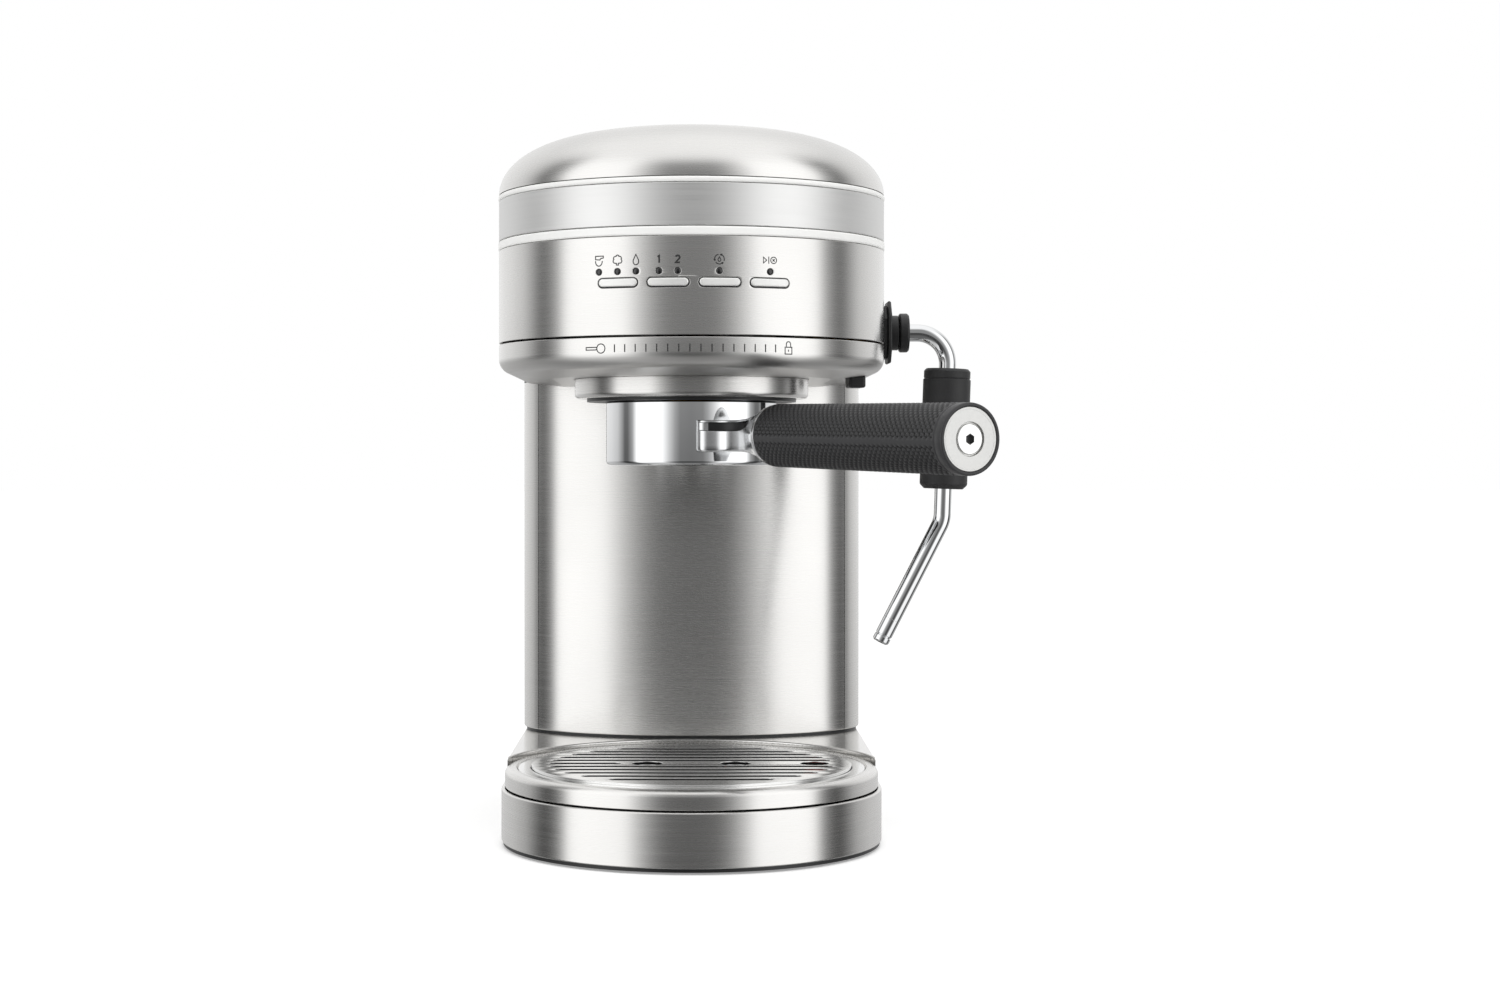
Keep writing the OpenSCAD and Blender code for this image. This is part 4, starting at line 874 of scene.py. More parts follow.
class ESPRESSO_OT_buttons(bpy.types.Operator):
    """Makes the four buttons and the indicator lamps"""

    bl_idname = "espresso.buttons"
    bl_label = "Buttons and lamps"

    def execute(self, context):
        bottom, top = heights("button_shots")
        z, lift = middle("button_shots").z, 0.1
        width, height, length = 17.3, top - bottom - 0.3, 9.0
        proud, seat, room = 0.6, 0.08, 0.34
        seals = []
        for key, angle in BUTTON_ANGLES.items():
            button = plate([pill(width, height, (0, z + lift), 16)], length, 0.55, 5)
            button = wrap_round_head(moved(button, at(z=proud - length / 2)))
            add_piece("button_" + key, moved(button, spun(angle)), "button", key + "_key", even=False)
            # The black seal ring in the gap round each button is partly a rubber gasket and partly painted
            # shade that makes the gap read black
            ring = plate([pill(SLOT_WIDTH - seat, SLOT_HEIGHT - seat, (0, z), 16),
                          pill(width + room, height + seat, (0, z + lift), 16)], 1.0, 0.05, 1)
            seals.append(moved(wrap_round_head(moved(ring, at(z=-0.8))), spun(angle)))
        add_piece("button_seals", joined(*seals), "rubber", even=False)
        lamp_z = middle("indicator_lamps").z
        lamps = []
        for angle in LAMP_ANGLES:
            lens = lathe([(0, 0), (1.36, 0), (1.36, 2.6), (1.1, 2.9), (0.6, 3.02), (0, 3.05)], turns=24)
            lamps.append(moved(lens, spun(angle - 90) @ at(HEAD_R - 3.0, 0, lamp_z) @ ALONG_X))
        add_piece("indicator_lamps", joined(*lamps), "lens")
        return {"FINISHED"}


# ---- Printed marks ----

def ribbon(points, width, closed, angle, z):
    """Thin printed line on the head from a flat drawing, centred at an angle from the front and a height."""
    rings = []
    count = len(points)
    for k, p in enumerate(points):
        here = Vector(p)
        before = Vector(points[k - 1]) if closed or k > 0 else here
        after = Vector(points[(k + 1) % count]) if closed or k < count - 1 else here
        onward = (after - here).normalized()
        first = (here - before).normalized() if (here - before).length > TINY else onward
        second = onward if onward.length > TINY else first
        along = (first + second).normalized()
        side = Vector((-along.y, along.x)) * (width / 2 / max(0.5, along.dot(first)))
        ring = []
        for (u, v), out in ((here + side, INK_OUT), (here - side, INK_OUT), (here - side, INK_IN),
                            (here + side, INK_IN)):
            a = math.radians(angle) + u / HEAD_R
            ring.append(((HEAD_R + out) * math.sin(a), -(HEAD_R + out) * math.cos(a), z + v))
        rings.append(ring)
    return loft(rings, closed)


def drop_loop(size, squeeze=0.62):
    """Outline of a water drop, its point up."""
    return [(0, size / 2)] + [(squeeze * size * 0.5 * c, -0.16 * size + 0.34 * size * n)
                              for c, n in arc(1, 35, -215, 16)]


def cup_icon():
    """A cup under a filter holder."""
    bowl = [(1.6 * c, -0.4 + 1.9 * n) for c, n in arc(1, 190, 350, 8)]
    return [([(-1.6, 1.9), (2.1, 1.9), (2.1, 1.1), (0.9, 0.9), (0.5, 0.3), (-1.6, 0.5)], True),
            ([(-1.6, -0.1)] + bowl + [(1.6, -0.1)], False)]


def steam_icon():
    """A puff of steam on a stem."""
    puff = [(-0.45, -2.1), (-0.45, -1.35)]
    for x, y, start, end in ((-1.15, -0.45, 265, 120), (-0.95, 0.7, 215, 70), (0, 1.25, 160, 20),
                             (0.95, 0.7, 110, -35), (1.15, -0.45, 60, -85)):
        puff += arc(0.85, start, end, 6, (x, y))
    return [(puff + [(0.45, -1.35), (0.45, -2.1)], True)]


def clean_icon():
    """A drop inside three curved arrows."""
    parts = [(drop_loop(1.9), True)]
    for start in (100, 220, 340):
        parts.append((arc(2.05, start, start + 92, 9), False))
        tip = math.radians(start + 92)
        parts.append(([(r * math.cos(tip + lean), r * math.sin(tip + lean))
                       for r, lean in ((2.45, -0.2), (2.05, 0.08), (1.65, -0.2))], False))
    return parts


def start_icon():
    """Play and cancel, with a bar between."""
    return [([(-3.1, 1.25), (-1.6, 0), (-3.1, -1.25)], True), ([(-0.65, 1.5), (-0.65, -1.5)], False),
            (arc(1.35, 0, 345, 24, (1.6, 0)), True), ([(2.1, 0.5), (1.1, -0.5)], False),
            ([(1.1, 0.5), (2.1, -0.5)], False)]


def holder_icon():
    """A filter holder seen from above: a round head with a long handle."""
    return [(arc(1.95, 0, 350, 28, (2.6, 0)), True),
            ([(-4.6, 0.55), (0.2, 0.55), (0.7, 0.3), (0.7, -0.3), (0.2, -0.55), (-4.6, -0.55)], True)]


def padlock_icon():
    """A closed padlock with its keyhole."""
    return [([(-1.65, 0.2), (1.65, 0.2), (1.65, -2.7), (-1.65, -2.7)], True),
            ([(-1.05, 0.2)] + arc(1.05, 180, 0, 10, (0, 1.5)) + [(1.05, 0.2)], False),
            ([(0, -0.8), (0, -1.7)], False)]


class ESPRESSO_OT_marks(bpy.types.Operator):
    """Prints the panel's icons and digits, and the scale that the filter holder turns along"""

    bl_idname = "espresso.marks"
    bl_label = "Printed marks"

    def execute(self, context):
        icon_z = high("indicator_lamps").z + 3.6
        scale_z = middle("head_lower_shell").z + 2.7
        fine, finer, bold = 0.44, 0.4, 0.76
        one = [([(-0.55, 0.95), (0.12, 1.5), (0.12, -1.5)], False)]
        two = [(arc(0.82, 165, -38, 12, (0, 0.7)) + [(-0.85, -1.42), (0.95, -1.42)], False)]
        over_lamps = ((cup_icon(), fine), (steam_icon(), fine), ([(drop_loop(4.4, 0.55), True)], fine),
                      (one, bold), (two, bold), (clean_icon(), finer), (start_icon(), finer))
        drawings = [(parts, angle, icon_z, width) for (parts, width), angle in zip(over_lamps, LAMP_ANGLES)]
        drawings += [(holder_icon(), -27.7, scale_z, fine), (padlock_icon(), 28.0, scale_z + 0.4, 0.42)]
        ribbons = [ribbon(points, width, closed, angle, z)
                   for parts, angle, z, width in drawings for points, closed in parts]
        add_piece("panel_marks", joined(*ribbons), "ink", even=False)
        add_piece("scale_ticks", self.ticks(context.scene.espresso_detail, scale_z), "ink", even=False)
        return {"FINISHED"}

    def ticks(self, detail, z):
        """Ticks set out round the head by Geometry Nodes."""
        def build(node, given):
            """Adds the nodes that set the ticks on an arc."""
            line = node("GeometryNodeMeshLine", {"Count": given["Count"]})
            turn = node(MATH, [node("GeometryNodeInputIndex"), given["Step"], given["First angle"]],
                        operation="MULTIPLY_ADD")
            right, back = [node(MATH, [node(MATH, [turn], operation=wave), given["Radius"]],
                                operation="MULTIPLY") for wave in ("SINE", "COSINE")]
            place = node(JOIN, [right, node(MATH, [back, -1.0], operation="MULTIPLY"), given["Height"]])
            return node(ON_POINTS, {
                "Points": node("GeometryNodeSetPosition", {"Geometry": line, "Position": place}),
                "Instance": node("GeometryNodeMeshCube", {"Size": given["Tick"]}),
                "Rotation": node(JOIN, {2: turn})})

        return grown("Scale ticks", "ink", {
            "Count": detail.ticks, "First angle": math.radians(-21.8), "Step": detail.tick_step,
            "Radius": HEAD_R * MM, "Height": z * MM, "Tick": (0.5 * MM, 0.08 * MM, 3.3 * MM)}, build)


# ---- Brew group ----

def perforated_disc(name, radius, bore, hole_r, pitch, rings=9):
    """Flat 0.6 mm disc with a middle bore and rings of small holes, made by Geometry Nodes."""
    def build(node, given):
        """Adds the nodes that fill the rings round their holes and give the disc its thickness."""
        loops = [node(CIRCLE, {"Resolution": count, "Radius": given[label]})
                 for count, label in ((96, "Radius"), (24, "Bore"))]
        hole = node(CIRCLE, {"Resolution": 8, "Radius": given["Hole"]})
        for ring in range(2, rings):
            reach = node(MATH, [given["Pitch"], float(ring)], operation="MULTIPLY")
            row = node(CIRCLE, {"Resolution": 6 * ring, "Radius": reach})
            spots = node("GeometryNodeCurveToPoints", {"Curve": row, "Count": 6 * ring}, mode="COUNT")
            loops.append(node(ON_POINTS, {"Points": spots, "Instance": hole}))
        real = node("GeometryNodeRealizeInstances", [node(GATHER, [loops])])
        filled = node("GeometryNodeFillCurve", {"Curve": real}, mode="TRIANGLES")
        raised = node("GeometryNodeExtrudeMesh", {
            "Mesh": filled, "Offset Scale": given["Thickness"], "Individual": False})
        return node(GATHER, [[raised, node("GeometryNodeFlipFaces", {"Mesh": filled})]])

    return tidy_mesh(grown(name, "buffed", {
        "Radius": radius * MM, "Bore": bore * MM, "Hole": hole_r * MM, "Pitch": pitch * MM,
        "Thickness": 0.6 * MM}, build))


class ESPRESSO_OT_brew_group(bpy.types.Operator):
    """Makes the brew group under the head: shroud, bayonet ring, casting, seal and perforated screen"""

    bl_idname = "espresso.brew_group"
    bl_label = "Brew group"

    def execute(self, context):
        bottom, top = heights("ring_shroud")
        outer, inner = high("ring_shroud").x, high("bayonet_ring").x + 0.15
        add_piece("ring_shroud", lathe([
            (inner, bottom, 0.4), (outer, bottom, 2), (outer, top, 0.2), (outer - WALL, top, 0.2),
            (outer - WALL, bottom + WALL, 1.5), (inner, bottom + WALL, 0.4)], 0.4, 160, 5), "steel")
        finish_nodes(bayonet_ring="abs", group_casting="brass", group_gasket="rubber", shower_screw="zinc")
        bottom, top = heights("shower_screen")
        outer = high("shower_screen").x
        disc = perforated_disc("Screen perforations", outer - 0.2, 2.0, 0.65, 2.9)
        edge = lathe([(outer - 0.9, bottom), (outer, bottom, 0.4), (outer, top), (outer - 0.9, top)], 0.15)
        add_piece("shower_screen", joined(moved(disc, at(z=bottom)), edge), "buffed", even=False)
        return {"FINISHED"}


# ---- Filter holder ----

def smooth_stations(stations, between):
    """Catmull-Rom stations through rows of numbers, with steps between each two."""
    rows = [stations[0]] + list(stations) + [stations[-1]]
    made = []
    for k in range(1, len(rows) - 2):
        for i in range(between):
            t = i / between
            made.append(tuple(
                0.5 * (2 * q + (r - p) * t + (2 * p - 5 * q + 4 * r - s) * t ** 2
                       + (3 * q - p - 3 * r + s) * t ** 3)
                for p, q, r, s in zip(*rows[k - 1:k + 3])))
    return made + [tuple(rows[-2])]


class ESPRESSO_OT_filter_holder(bpy.types.Operator):
    """Makes the chrome filter holder with its forged neck, the basket, its spring and the outlet"""

    bl_idname = "espresso.filter_holder"
    bl_label = "Filter holder"

    def execute(self, context):
        z, top = heights("holder_body")
        rim, bore, spout, floor = 34.6, 30.5, 6.0, z + 3
        shoulder = low("bayonet_ring").z - 0.3
        body = lathe([
            (spout, z, 0.3), (HOLDER_R, z, 2), (HOLDER_R, shoulder, 0.5), (rim, shoulder, 0.4),
            (rim, top, 0.5), (bore, top, 0.4), (bore, floor, 1.5), (spout, floor, 0.3)], 0.5, 192, 5)
        lug_z = high("bayonet_ring").z + 0.3
        lugs = [prism(arc(rim - 1, start, start + 44, 20) + arc(39.3, start + 44, start, 20),
                      lug_z, lug_z + 3.4, 0.5)
                for start in (HANDLE_TURN + 10, HANDLE_TURN + 190)]
        add_piece("holder_body", joined(body, *lugs), "chrome", "filter_holder")
        self.neck()
        self.basket()
        finish_nodes(basket_spring="zinc", outlet_nozzle="abs")
        return {"FINISHED"}

    def neck(self):
        """Forged neck: a saddle round the cup, a waist hollowed at both sides and a flare at the grip."""
        none = 0.08
        stations = [
            # distance out, half width, half height, how round, depth of the hollows
            (32.0, 14.0, 6.9, 0, none), (36.0, 18.3, 7.0, 0, none), (38.5, 18.6, 7.0, 0, none),
            (40.3, 18.1, 7.0, 0, 0.6), (41.8, 16.8, 6.9, 0, 1.6), (43.4, 14.6, 6.9, 0, 2.2),
            (45.2, 12.5, 6.8, 0, 2.6), (47.4, 10.9, 6.8, 0, 2.9), (50.4, 9.9, 6.8, 0, 3.0),
            (53.5, 9.4, 6.8, 0, 3.0), (56.5, 9.2, 6.9, 0.03, 3.0), (59.0, 9.4, 7.3, 0.1, 2.7),
            (62.0, 9.9, 8.0, 0.3, 1.8), (65.0, 10.8, 9.2, 0.55, 0.8), (68.0, 11.8, 10.9, 0.8, 0.3),
            (70.5, 12.6, 12.2, 0.95, none), (72.3, 13.1, 13.0, 1, none), (73.2, 13.3, 13.3, 1, none),
            (74.6, 13.3, 13.3, 1, none), (74.9, 13.0, 13.0, 1, none),
        ]
        rings = []
        for x, half_w, half_h, roundness, hollow in smooth_stations(stations, 4):
            half = self.neck_section(half_w, half_h, max(none, hollow))
            ring = []
            for y, z in half + [(-y, z) for y, z in half[-2:0:-1]]:
                a = math.atan2(z, y)
                y += (half_w * math.cos(a) - y) * roundness
                z += (half_h * math.sin(a) - z) * roundness
                ring.append((x, y, GRIP_Z + z))
            rings.append(ring)
        turn = spun(HANDLE_TURN)
        add_piece("holder_neck", moved(loft(rings, sharp=50), turn), "satin_chrome", "filter_holder")
        # Painted shade: a black inlay fills the hollow on top of the neck so that the hollow reads dark
        inlay = [(x, half_w - hollow + 0.5) for x, half_w, _, _, hollow in stations if hollow > 1]
        top = GRIP_Z + 6.8
        strip = prism(inlay + [(x, -w) for x, w in inlay[::-1]], top - 4.45, top - 1.15, 0.05, 1)
        add_piece("neck_inlay", moved(strip, turn), "abs", "filter_holder")

    def neck_section(self, w, h, hollow):
        """Right half of the neck's section, from the middle of its top to the middle of its bottom."""
        return rounded([
            (0, h), (0.3 * w, h), (0.6 * w, h), (w, h, 0.9), (w, h - 0.9, 0.2), (w - hollow, h - 1.2, 0.2),
            (w - hollow, h - 2.8), (w - hollow, h - 4.4, 0.2), (w, h - 4.7, 0.2), (w, 0.15 * h), (w, 0),
            (w, -0.2 * h), (w, -0.4 * h), (w, -0.6 * h), (w, -h, 1.9), (0.6 * w, -h), (0.3 * w, -h), (0, -h)])

    def basket(self):
        """Pressed basket: a cup with a rolled lip and a perforated bottom."""
        bottom, top = heights("filter_basket")
        r, sheet, lip = 29.5, 0.8, high("filter_basket").x
        wall = lathe([
            (r - 4, bottom, 0.1), (r, bottom, 2.4), (r, top - 1.0, 0.2), (lip, top - 1.0, 0.4),
            (lip, top, 0.4), (r - sheet, top, 0.8), (r - sheet, bottom + sheet, 1.6),
            (r - 4, bottom + sheet, 0.1)], 0.3, 128, 4)
        disc = moved(perforated_disc("Basket perforations", r - 3.5, 0.45, 0.45, 2.6), at(z=bottom + 0.1))
        add_piece("filter_basket", joined(wall, disc), "buffed", "filter_holder", even=False)


class ESPRESSO_OT_handle(bpy.types.Operator):
    """Makes the knurled grip, the turned disc in its end and the bolt that holds them"""

    bl_idname = "espresso.handle"
    bl_label = "Handle"

    length, near, far = 136.0, 13.35, 13.95
    grip_start, plain_far = 0.4, 5.0

    def execute(self, context):
        self.grip(context.scene.espresso_detail)
        disc_r, recess = 12.4, 2.2
        disc = lathe([
            (3.1, 0), (disc_r, 0), (disc_r, 1.9, 0.35), (6.55, 1.9, 0.2), (6.45, 0.75, 0.1),
            (3.1, 0.75)], 0.1, 128)
        groove = lathe([(11.2, 1.88), (11.6, 1.88), (11.6, 1.95), (11.2, 1.95)], 0.02, 128, 1)
        disc = moved(joined(disc, groove), on_handle(self.length - recess) @ ALONG_X)
        add_piece("handle_disc", disc, "disc", "filter_holder")
        bolt = lathe([(0, -30), (2.95, -30), (2.95, 0.0, 0.1), (5.9, 0.0, 0.2), (5.9, 1.1, 0.45), (0, 1.1)],
                     0.1, 96, 4)
        socket = loft([[(x, y, z) for x, y in circle(2.2, steps=6)] for z in (-1.0, 3.0)])
        bolt = moved(cut(bolt, socket), on_handle(self.length - 1.5) @ ALONG_X)
        add_piece("handle_bolt", bolt, "buffed", "filter_holder")
        return {"FINISHED"}

    def grip(self, detail):
        """Grip with rows of dimples between two plain stripes, set in its surface by Geometry Nodes."""
        sleeve = self.length - self.plain_far - self.grip_start
        rows = 2 * round(sleeve * MM / detail.knurl_length)
        count = 2 * round(math.pi * self.far * MM / detail.knurl_width)
        steps_along, steps_round = 4, 6

        def build(node, given):
            """Adds the nodes that roll a grid into the sleeve and sink its dimples."""
            grid = node("GeometryNodeMeshGrid", {
                "Size X": 1.0, "Size Y": 1.0, "Vertices X": given["Along"], "Vertices Y": given["Round"]})
            spot = node(VECTOR, [node("GeometryNodeInputPosition"), (0.5, 0.5, 0.0)], operation="ADD")
            u, v, _ = node(SPLIT, [spot]).outputs
            waves = []
            for part, label in ((u, "Rows"), (v, "Dimples round")):
                phase = node(MATH, [node(MATH, [part, given[label]], operation="MULTIPLY"), math.pi],
                             operation="MULTIPLY")
                waves.append(node(MATH, [phase], operation="COSINE"))
            level = node(MATH, [node(MATH, waves, operation="MULTIPLY"), -1.0], operation="MULTIPLY")
            dimple = node(RANGE, [level, -0.3, 0.5, 0.0, 1.0], interpolation_type="SMOOTHSTEP")
            from_stripe = node(MATH, [node(MATH, [v, 2.0], operation="MULTIPLY"), 0.5], operation="PINGPONG")
            round_grip = node(MATH, [given["Far radius"], TAU], operation="MULTIPLY")
            stripe = node(MATH, [given["Stripe"], round_grip], operation="DIVIDE")
            faded = node(MATH, [stripe, 1.5], operation="MULTIPLY")
            beside = node(RANGE, [from_stripe, stripe, faded, 0.0, 1.0])
            inside = node(RANGE, [node(MATH, [u, 0.5], operation="PINGPONG"), 0.004, 0.012, 0.0, 1.0])
            spared = node(MATH, [beside, inside], operation="MULTIPLY")
            pit = node(MATH, [dimple, spared], operation="MULTIPLY")
            taper = node(RANGE, [u, 0.0, 1.0, given["Near radius"], given["Far radius"]])
            reach = node(MATH, [taper, node(MATH, [pit, given["Depth"]], operation="MULTIPLY")],
                         operation="SUBTRACT")
            turn = node(MATH, [v, TAU], operation="MULTIPLY")
            place = [node(MATH, [u, given["Length"]], operation="MULTIPLY")]
            place += [node(MATH, [reach, node(MATH, [turn], operation=wave)], operation="MULTIPLY")
                      for wave in ("COSINE", "SINE")]
            # The dimples' depth is kept as an attribute, by which the grip's material paints shade into them
            marked = node("GeometryNodeStoreNamedAttribute", {"Geometry": grid, "Name": "sunk", "Value": pit},
                          data_type="FLOAT")
            rolled = node("GeometryNodeSetPosition", {"Geometry": marked, "Position": node(JOIN, place)})
            return node("GeometryNodeMergeByDistance", {"Geometry": rolled, "Distance": 0.001 * MM})

        mesh = grown("Knurled grip", "nylon", {
            "Length": sleeve * MM, "Near radius": (self.near + 0.15) * MM, "Far radius": self.far * MM,
            "Rows": float(rows), "Dimples round": float(count), "Depth": detail.knurl_depth,
            "Stripe": detail.stripe, "Along": rows * steps_along + 1,
            "Round": count * steps_round // 2 + 1}, build)
        self.close_grip(mesh, sleeve)
        mesh = moved(mesh, on_handle(self.grip_start) @ spun(6, "X"))
        add_piece("handle_grip", mesh, "nylon", "filter_holder", even=False)

    def close_grip(self, mesh, sleeve):
        """Adds the near face, the plain far rim and the recess for the disc to the sleeve's open ends."""
        near, far, end = self.near, self.far, sleeve + self.plain_far
        far_profile = [(sleeve + 0.4, far - 0.25), (sleeve + 0.9, far), (end - 0.9, far),
                       (end - 0.35, far - 0.12), (end - 0.08, far - 0.45), (end, far - 0.8), (end, 12.75),
                       (end - 0.2, 12.5), (end - 2.4, 12.5), (end - 2.4, 0)]
        near_profile = [(-0.05, near - 0.1), (-0.1, near - 0.5), (-0.1, 0)]
        work = bmesh.new()
        work.from_mesh(mesh)
        for profile, start in ((far_profile, sleeve), (near_profile, 0.0)):
            edges = [e for e in work.edges if e.is_boundary and abs(e.verts[0].co.x / MM - start) < 0.05]
            for x, r in profile:
                made = bmesh.ops.extrude_edge_only(work, edges=edges)["geom"]
                edges = [g for g in made if isinstance(g, bmesh.types.BMEdge) and g.is_boundary]
                for v in {v for g in edges for v in g.verts}:
                    radial = Vector(v.co.yz)
                    radial = radial.normalized() * r * MM if r > 0 else Vector((0, 0))
                    v.co = (x * MM, *radial)
        bmesh.ops.remove_doubles(work, verts=work.verts, dist=1e-7)
        bmesh.ops.recalc_face_normals(work, faces=work.faces)
        work.to_mesh(mesh)
        work.free()
        mesh.shade_smooth()
        mesh.set_sharp_from_angle(angle=math.radians(60))


# ---- Steam wand ----

class ESPRESSO_OT_wand(bpy.types.Operator):
    """Makes the steam wand: its flange and collar on the head, the bent chrome tube, the grip and the tip"""

    bl_idname = "espresso.wand"
    bl_label = "Steam wand"

    elbow, upright, slope, tip = 14.0, 68.5, 60.0, 12.0
    tube_r = 3.98

    def execute(self, context):
        inner, outer = low("wand_flange").x, high("wand_flange").x
        self.y, self.z = middle("wand_flange").yz
        self.nut_x = high("wand_collar").x + 0.3
        self.bend_x = self.nut_x + 5.5 + 3
        facing = at(0, self.y, self.z) @ FACING_X
        half = (high("wand_flange").y - low("wand_flange").y) / 2
        layers = []
        for start, end, size, bevel in (
                (inner, inner + 2.6, half - 2.2, 6.0), (inner + 2.4, outer, half, 7.0)):
            flat = size - bevel
            outline = [(-size, -flat), (-flat, -size), (flat, -size), (size, -flat),
                       (size, flat), (flat, size), (-flat, size), (-size, flat)]
            layer = plate([outline, circle(6.0)], end - start, 0.9, 3)
            layers.append(moved(layer, at((start + end) / 2) @ facing))
        add_piece("wand_flange", joined(*layers), "abs")
        collar_r = high("wand_collar").y - self.y
        collar = lathe([(4.05, 0), (collar_r, 0), (collar_r, 3.9), (4.05, 3.9)], 0.5, 72)
        add_piece("wand_collar", moved(collar, at(outer) @ facing), "abs")
        self.tube_and_nut(facing)
        self.grip_and_tip()
        return {"FINISHED"}

    def upright_frame(self):
        """Matrix to the top of the upright run."""
        return at(self.bend_x, self.y, self.z - self.elbow) @ spun(2, "Y") @ at(self.elbow)

    def slope_frame(self):
        """Matrix to the top of the sloping run."""
        return self.upright_frame() @ at(-self.elbow, 0, -self.upright) @ spun(25, "Y") @ at(self.elbow)

    def tube_and_nut(self, facing):
        """Bent tube through the bends' points, and the swivel nut round its start."""
        upright = self.upright_frame()
        turn = upright @ at(-self.elbow, 0, -self.upright)
        path = [Vector((91.5, self.y, self.z)), Vector((self.bend_x, self.y, self.z))]
        bend = arc(self.elbow, 90, -2, 24, (self.bend_x, self.z - self.elbow))
        path += [Vector((x, self.y, z)) for x, z in bend[1:]]
        path.append(upright @ Vector((0, 0, -self.upright)))
        path += [turn @ Vector((x, 0, z)) for x, z in arc(self.elbow, 0, -25, 12)[1:]]
        path.append(self.slope_frame() @ Vector((0, 0, self.tip - self.slope)))
        rings = []
        for k, p in enumerate(path):
            along = (path[min(k + 1, len(path) - 1)] - path[max(k - 1, 0)]).normalized()
            side = Vector((0, 1, 0))
            up = side.cross(along)
            rings.append([tuple(p + (side * c + up * n) * self.tube_r) for c, n in circle(1, steps=40)])
        add_piece("wand_tube", loft(rings), "chrome", "wand")
        nut_r = high("wand_tube").z - self.z - 0.02
        nut = lathe([
            (4.0, 0), (nut_r - 0.6, 0), (nut_r, 0.6), (nut_r, 3.6), (nut_r - 0.7, 4.5), (4.0, 4.5)], 0.35, 72)
        add_piece("wand_nut", moved(nut, at(self.nut_x) @ facing), "abs", "wand")

    def grip_and_tip(self):
        """Rubber grip with a lip at its top, and the nozzle tip with a groove round it."""
        length, r = 55.2, 10.9
        grip = lathe([
            (4.1, 0.2), (r - 2, 0, 0.4), (r, 2, 1.6), (r, length - 5, 0.2), (r - 0.55, length - 4.7, 0.1),
            (r - 0.25, length - 4.1, 0.2), (r - 0.25, length - 1.2, 0.2), (r - 1.3, length, 0.5),
            (4.1, length, 0.3)], 0.2, 96, 4)
        add_piece("wand_grip", moved(grip, self.upright_frame() @ at(z=-2 - length)), "rubber", "wand")
        tip = lathe([
            (1, 0, 0.1), (3.1, 0, 0.5), (self.tube_r, 0.9, 0.4), (self.tube_r, 3.1), (3.6, 3.4), (3.6, 3.8),
            (self.tube_r, 4.1), (self.tube_r, self.tip), (1, self.tip)], 0.12, 64)
        add_piece("wand_tip", moved(tip, self.slope_frame() @ at(z=-self.slope)), "chrome", "wand")


class ESPRESSO_OT_latch(bpy.types.Operator):
    """Makes the holder's release latch under the head"""

    bl_idname = "espresso.latch"
    bl_label = "Release latch"

    def execute(self, context):
        top, shell = high("release_latch").z - 0.1, low("head_lower_shell").z
        bosses = []
        for depth, width, z0, z1, corner, edge in (
                (LATCH_DEPTH / 2, LATCH_WIDTH / 2, shell - 3.5, shell + 2.2, 1.3, 1.1),
                (2.4, 2.4, shell + 1.5, top, 0.3, 0.2)):
            outline = rounded([(-depth, -width), (depth, -width), (depth, width), (-depth, width)], corner, 5)
            bosses.append(prism(outline, z0, z1, edge, 4))
        add_piece("release_latch", moved(joined(*bosses), latch_place()), "abs", "latch")
        return {"FINISHED"}


# ---- Drip tray ----

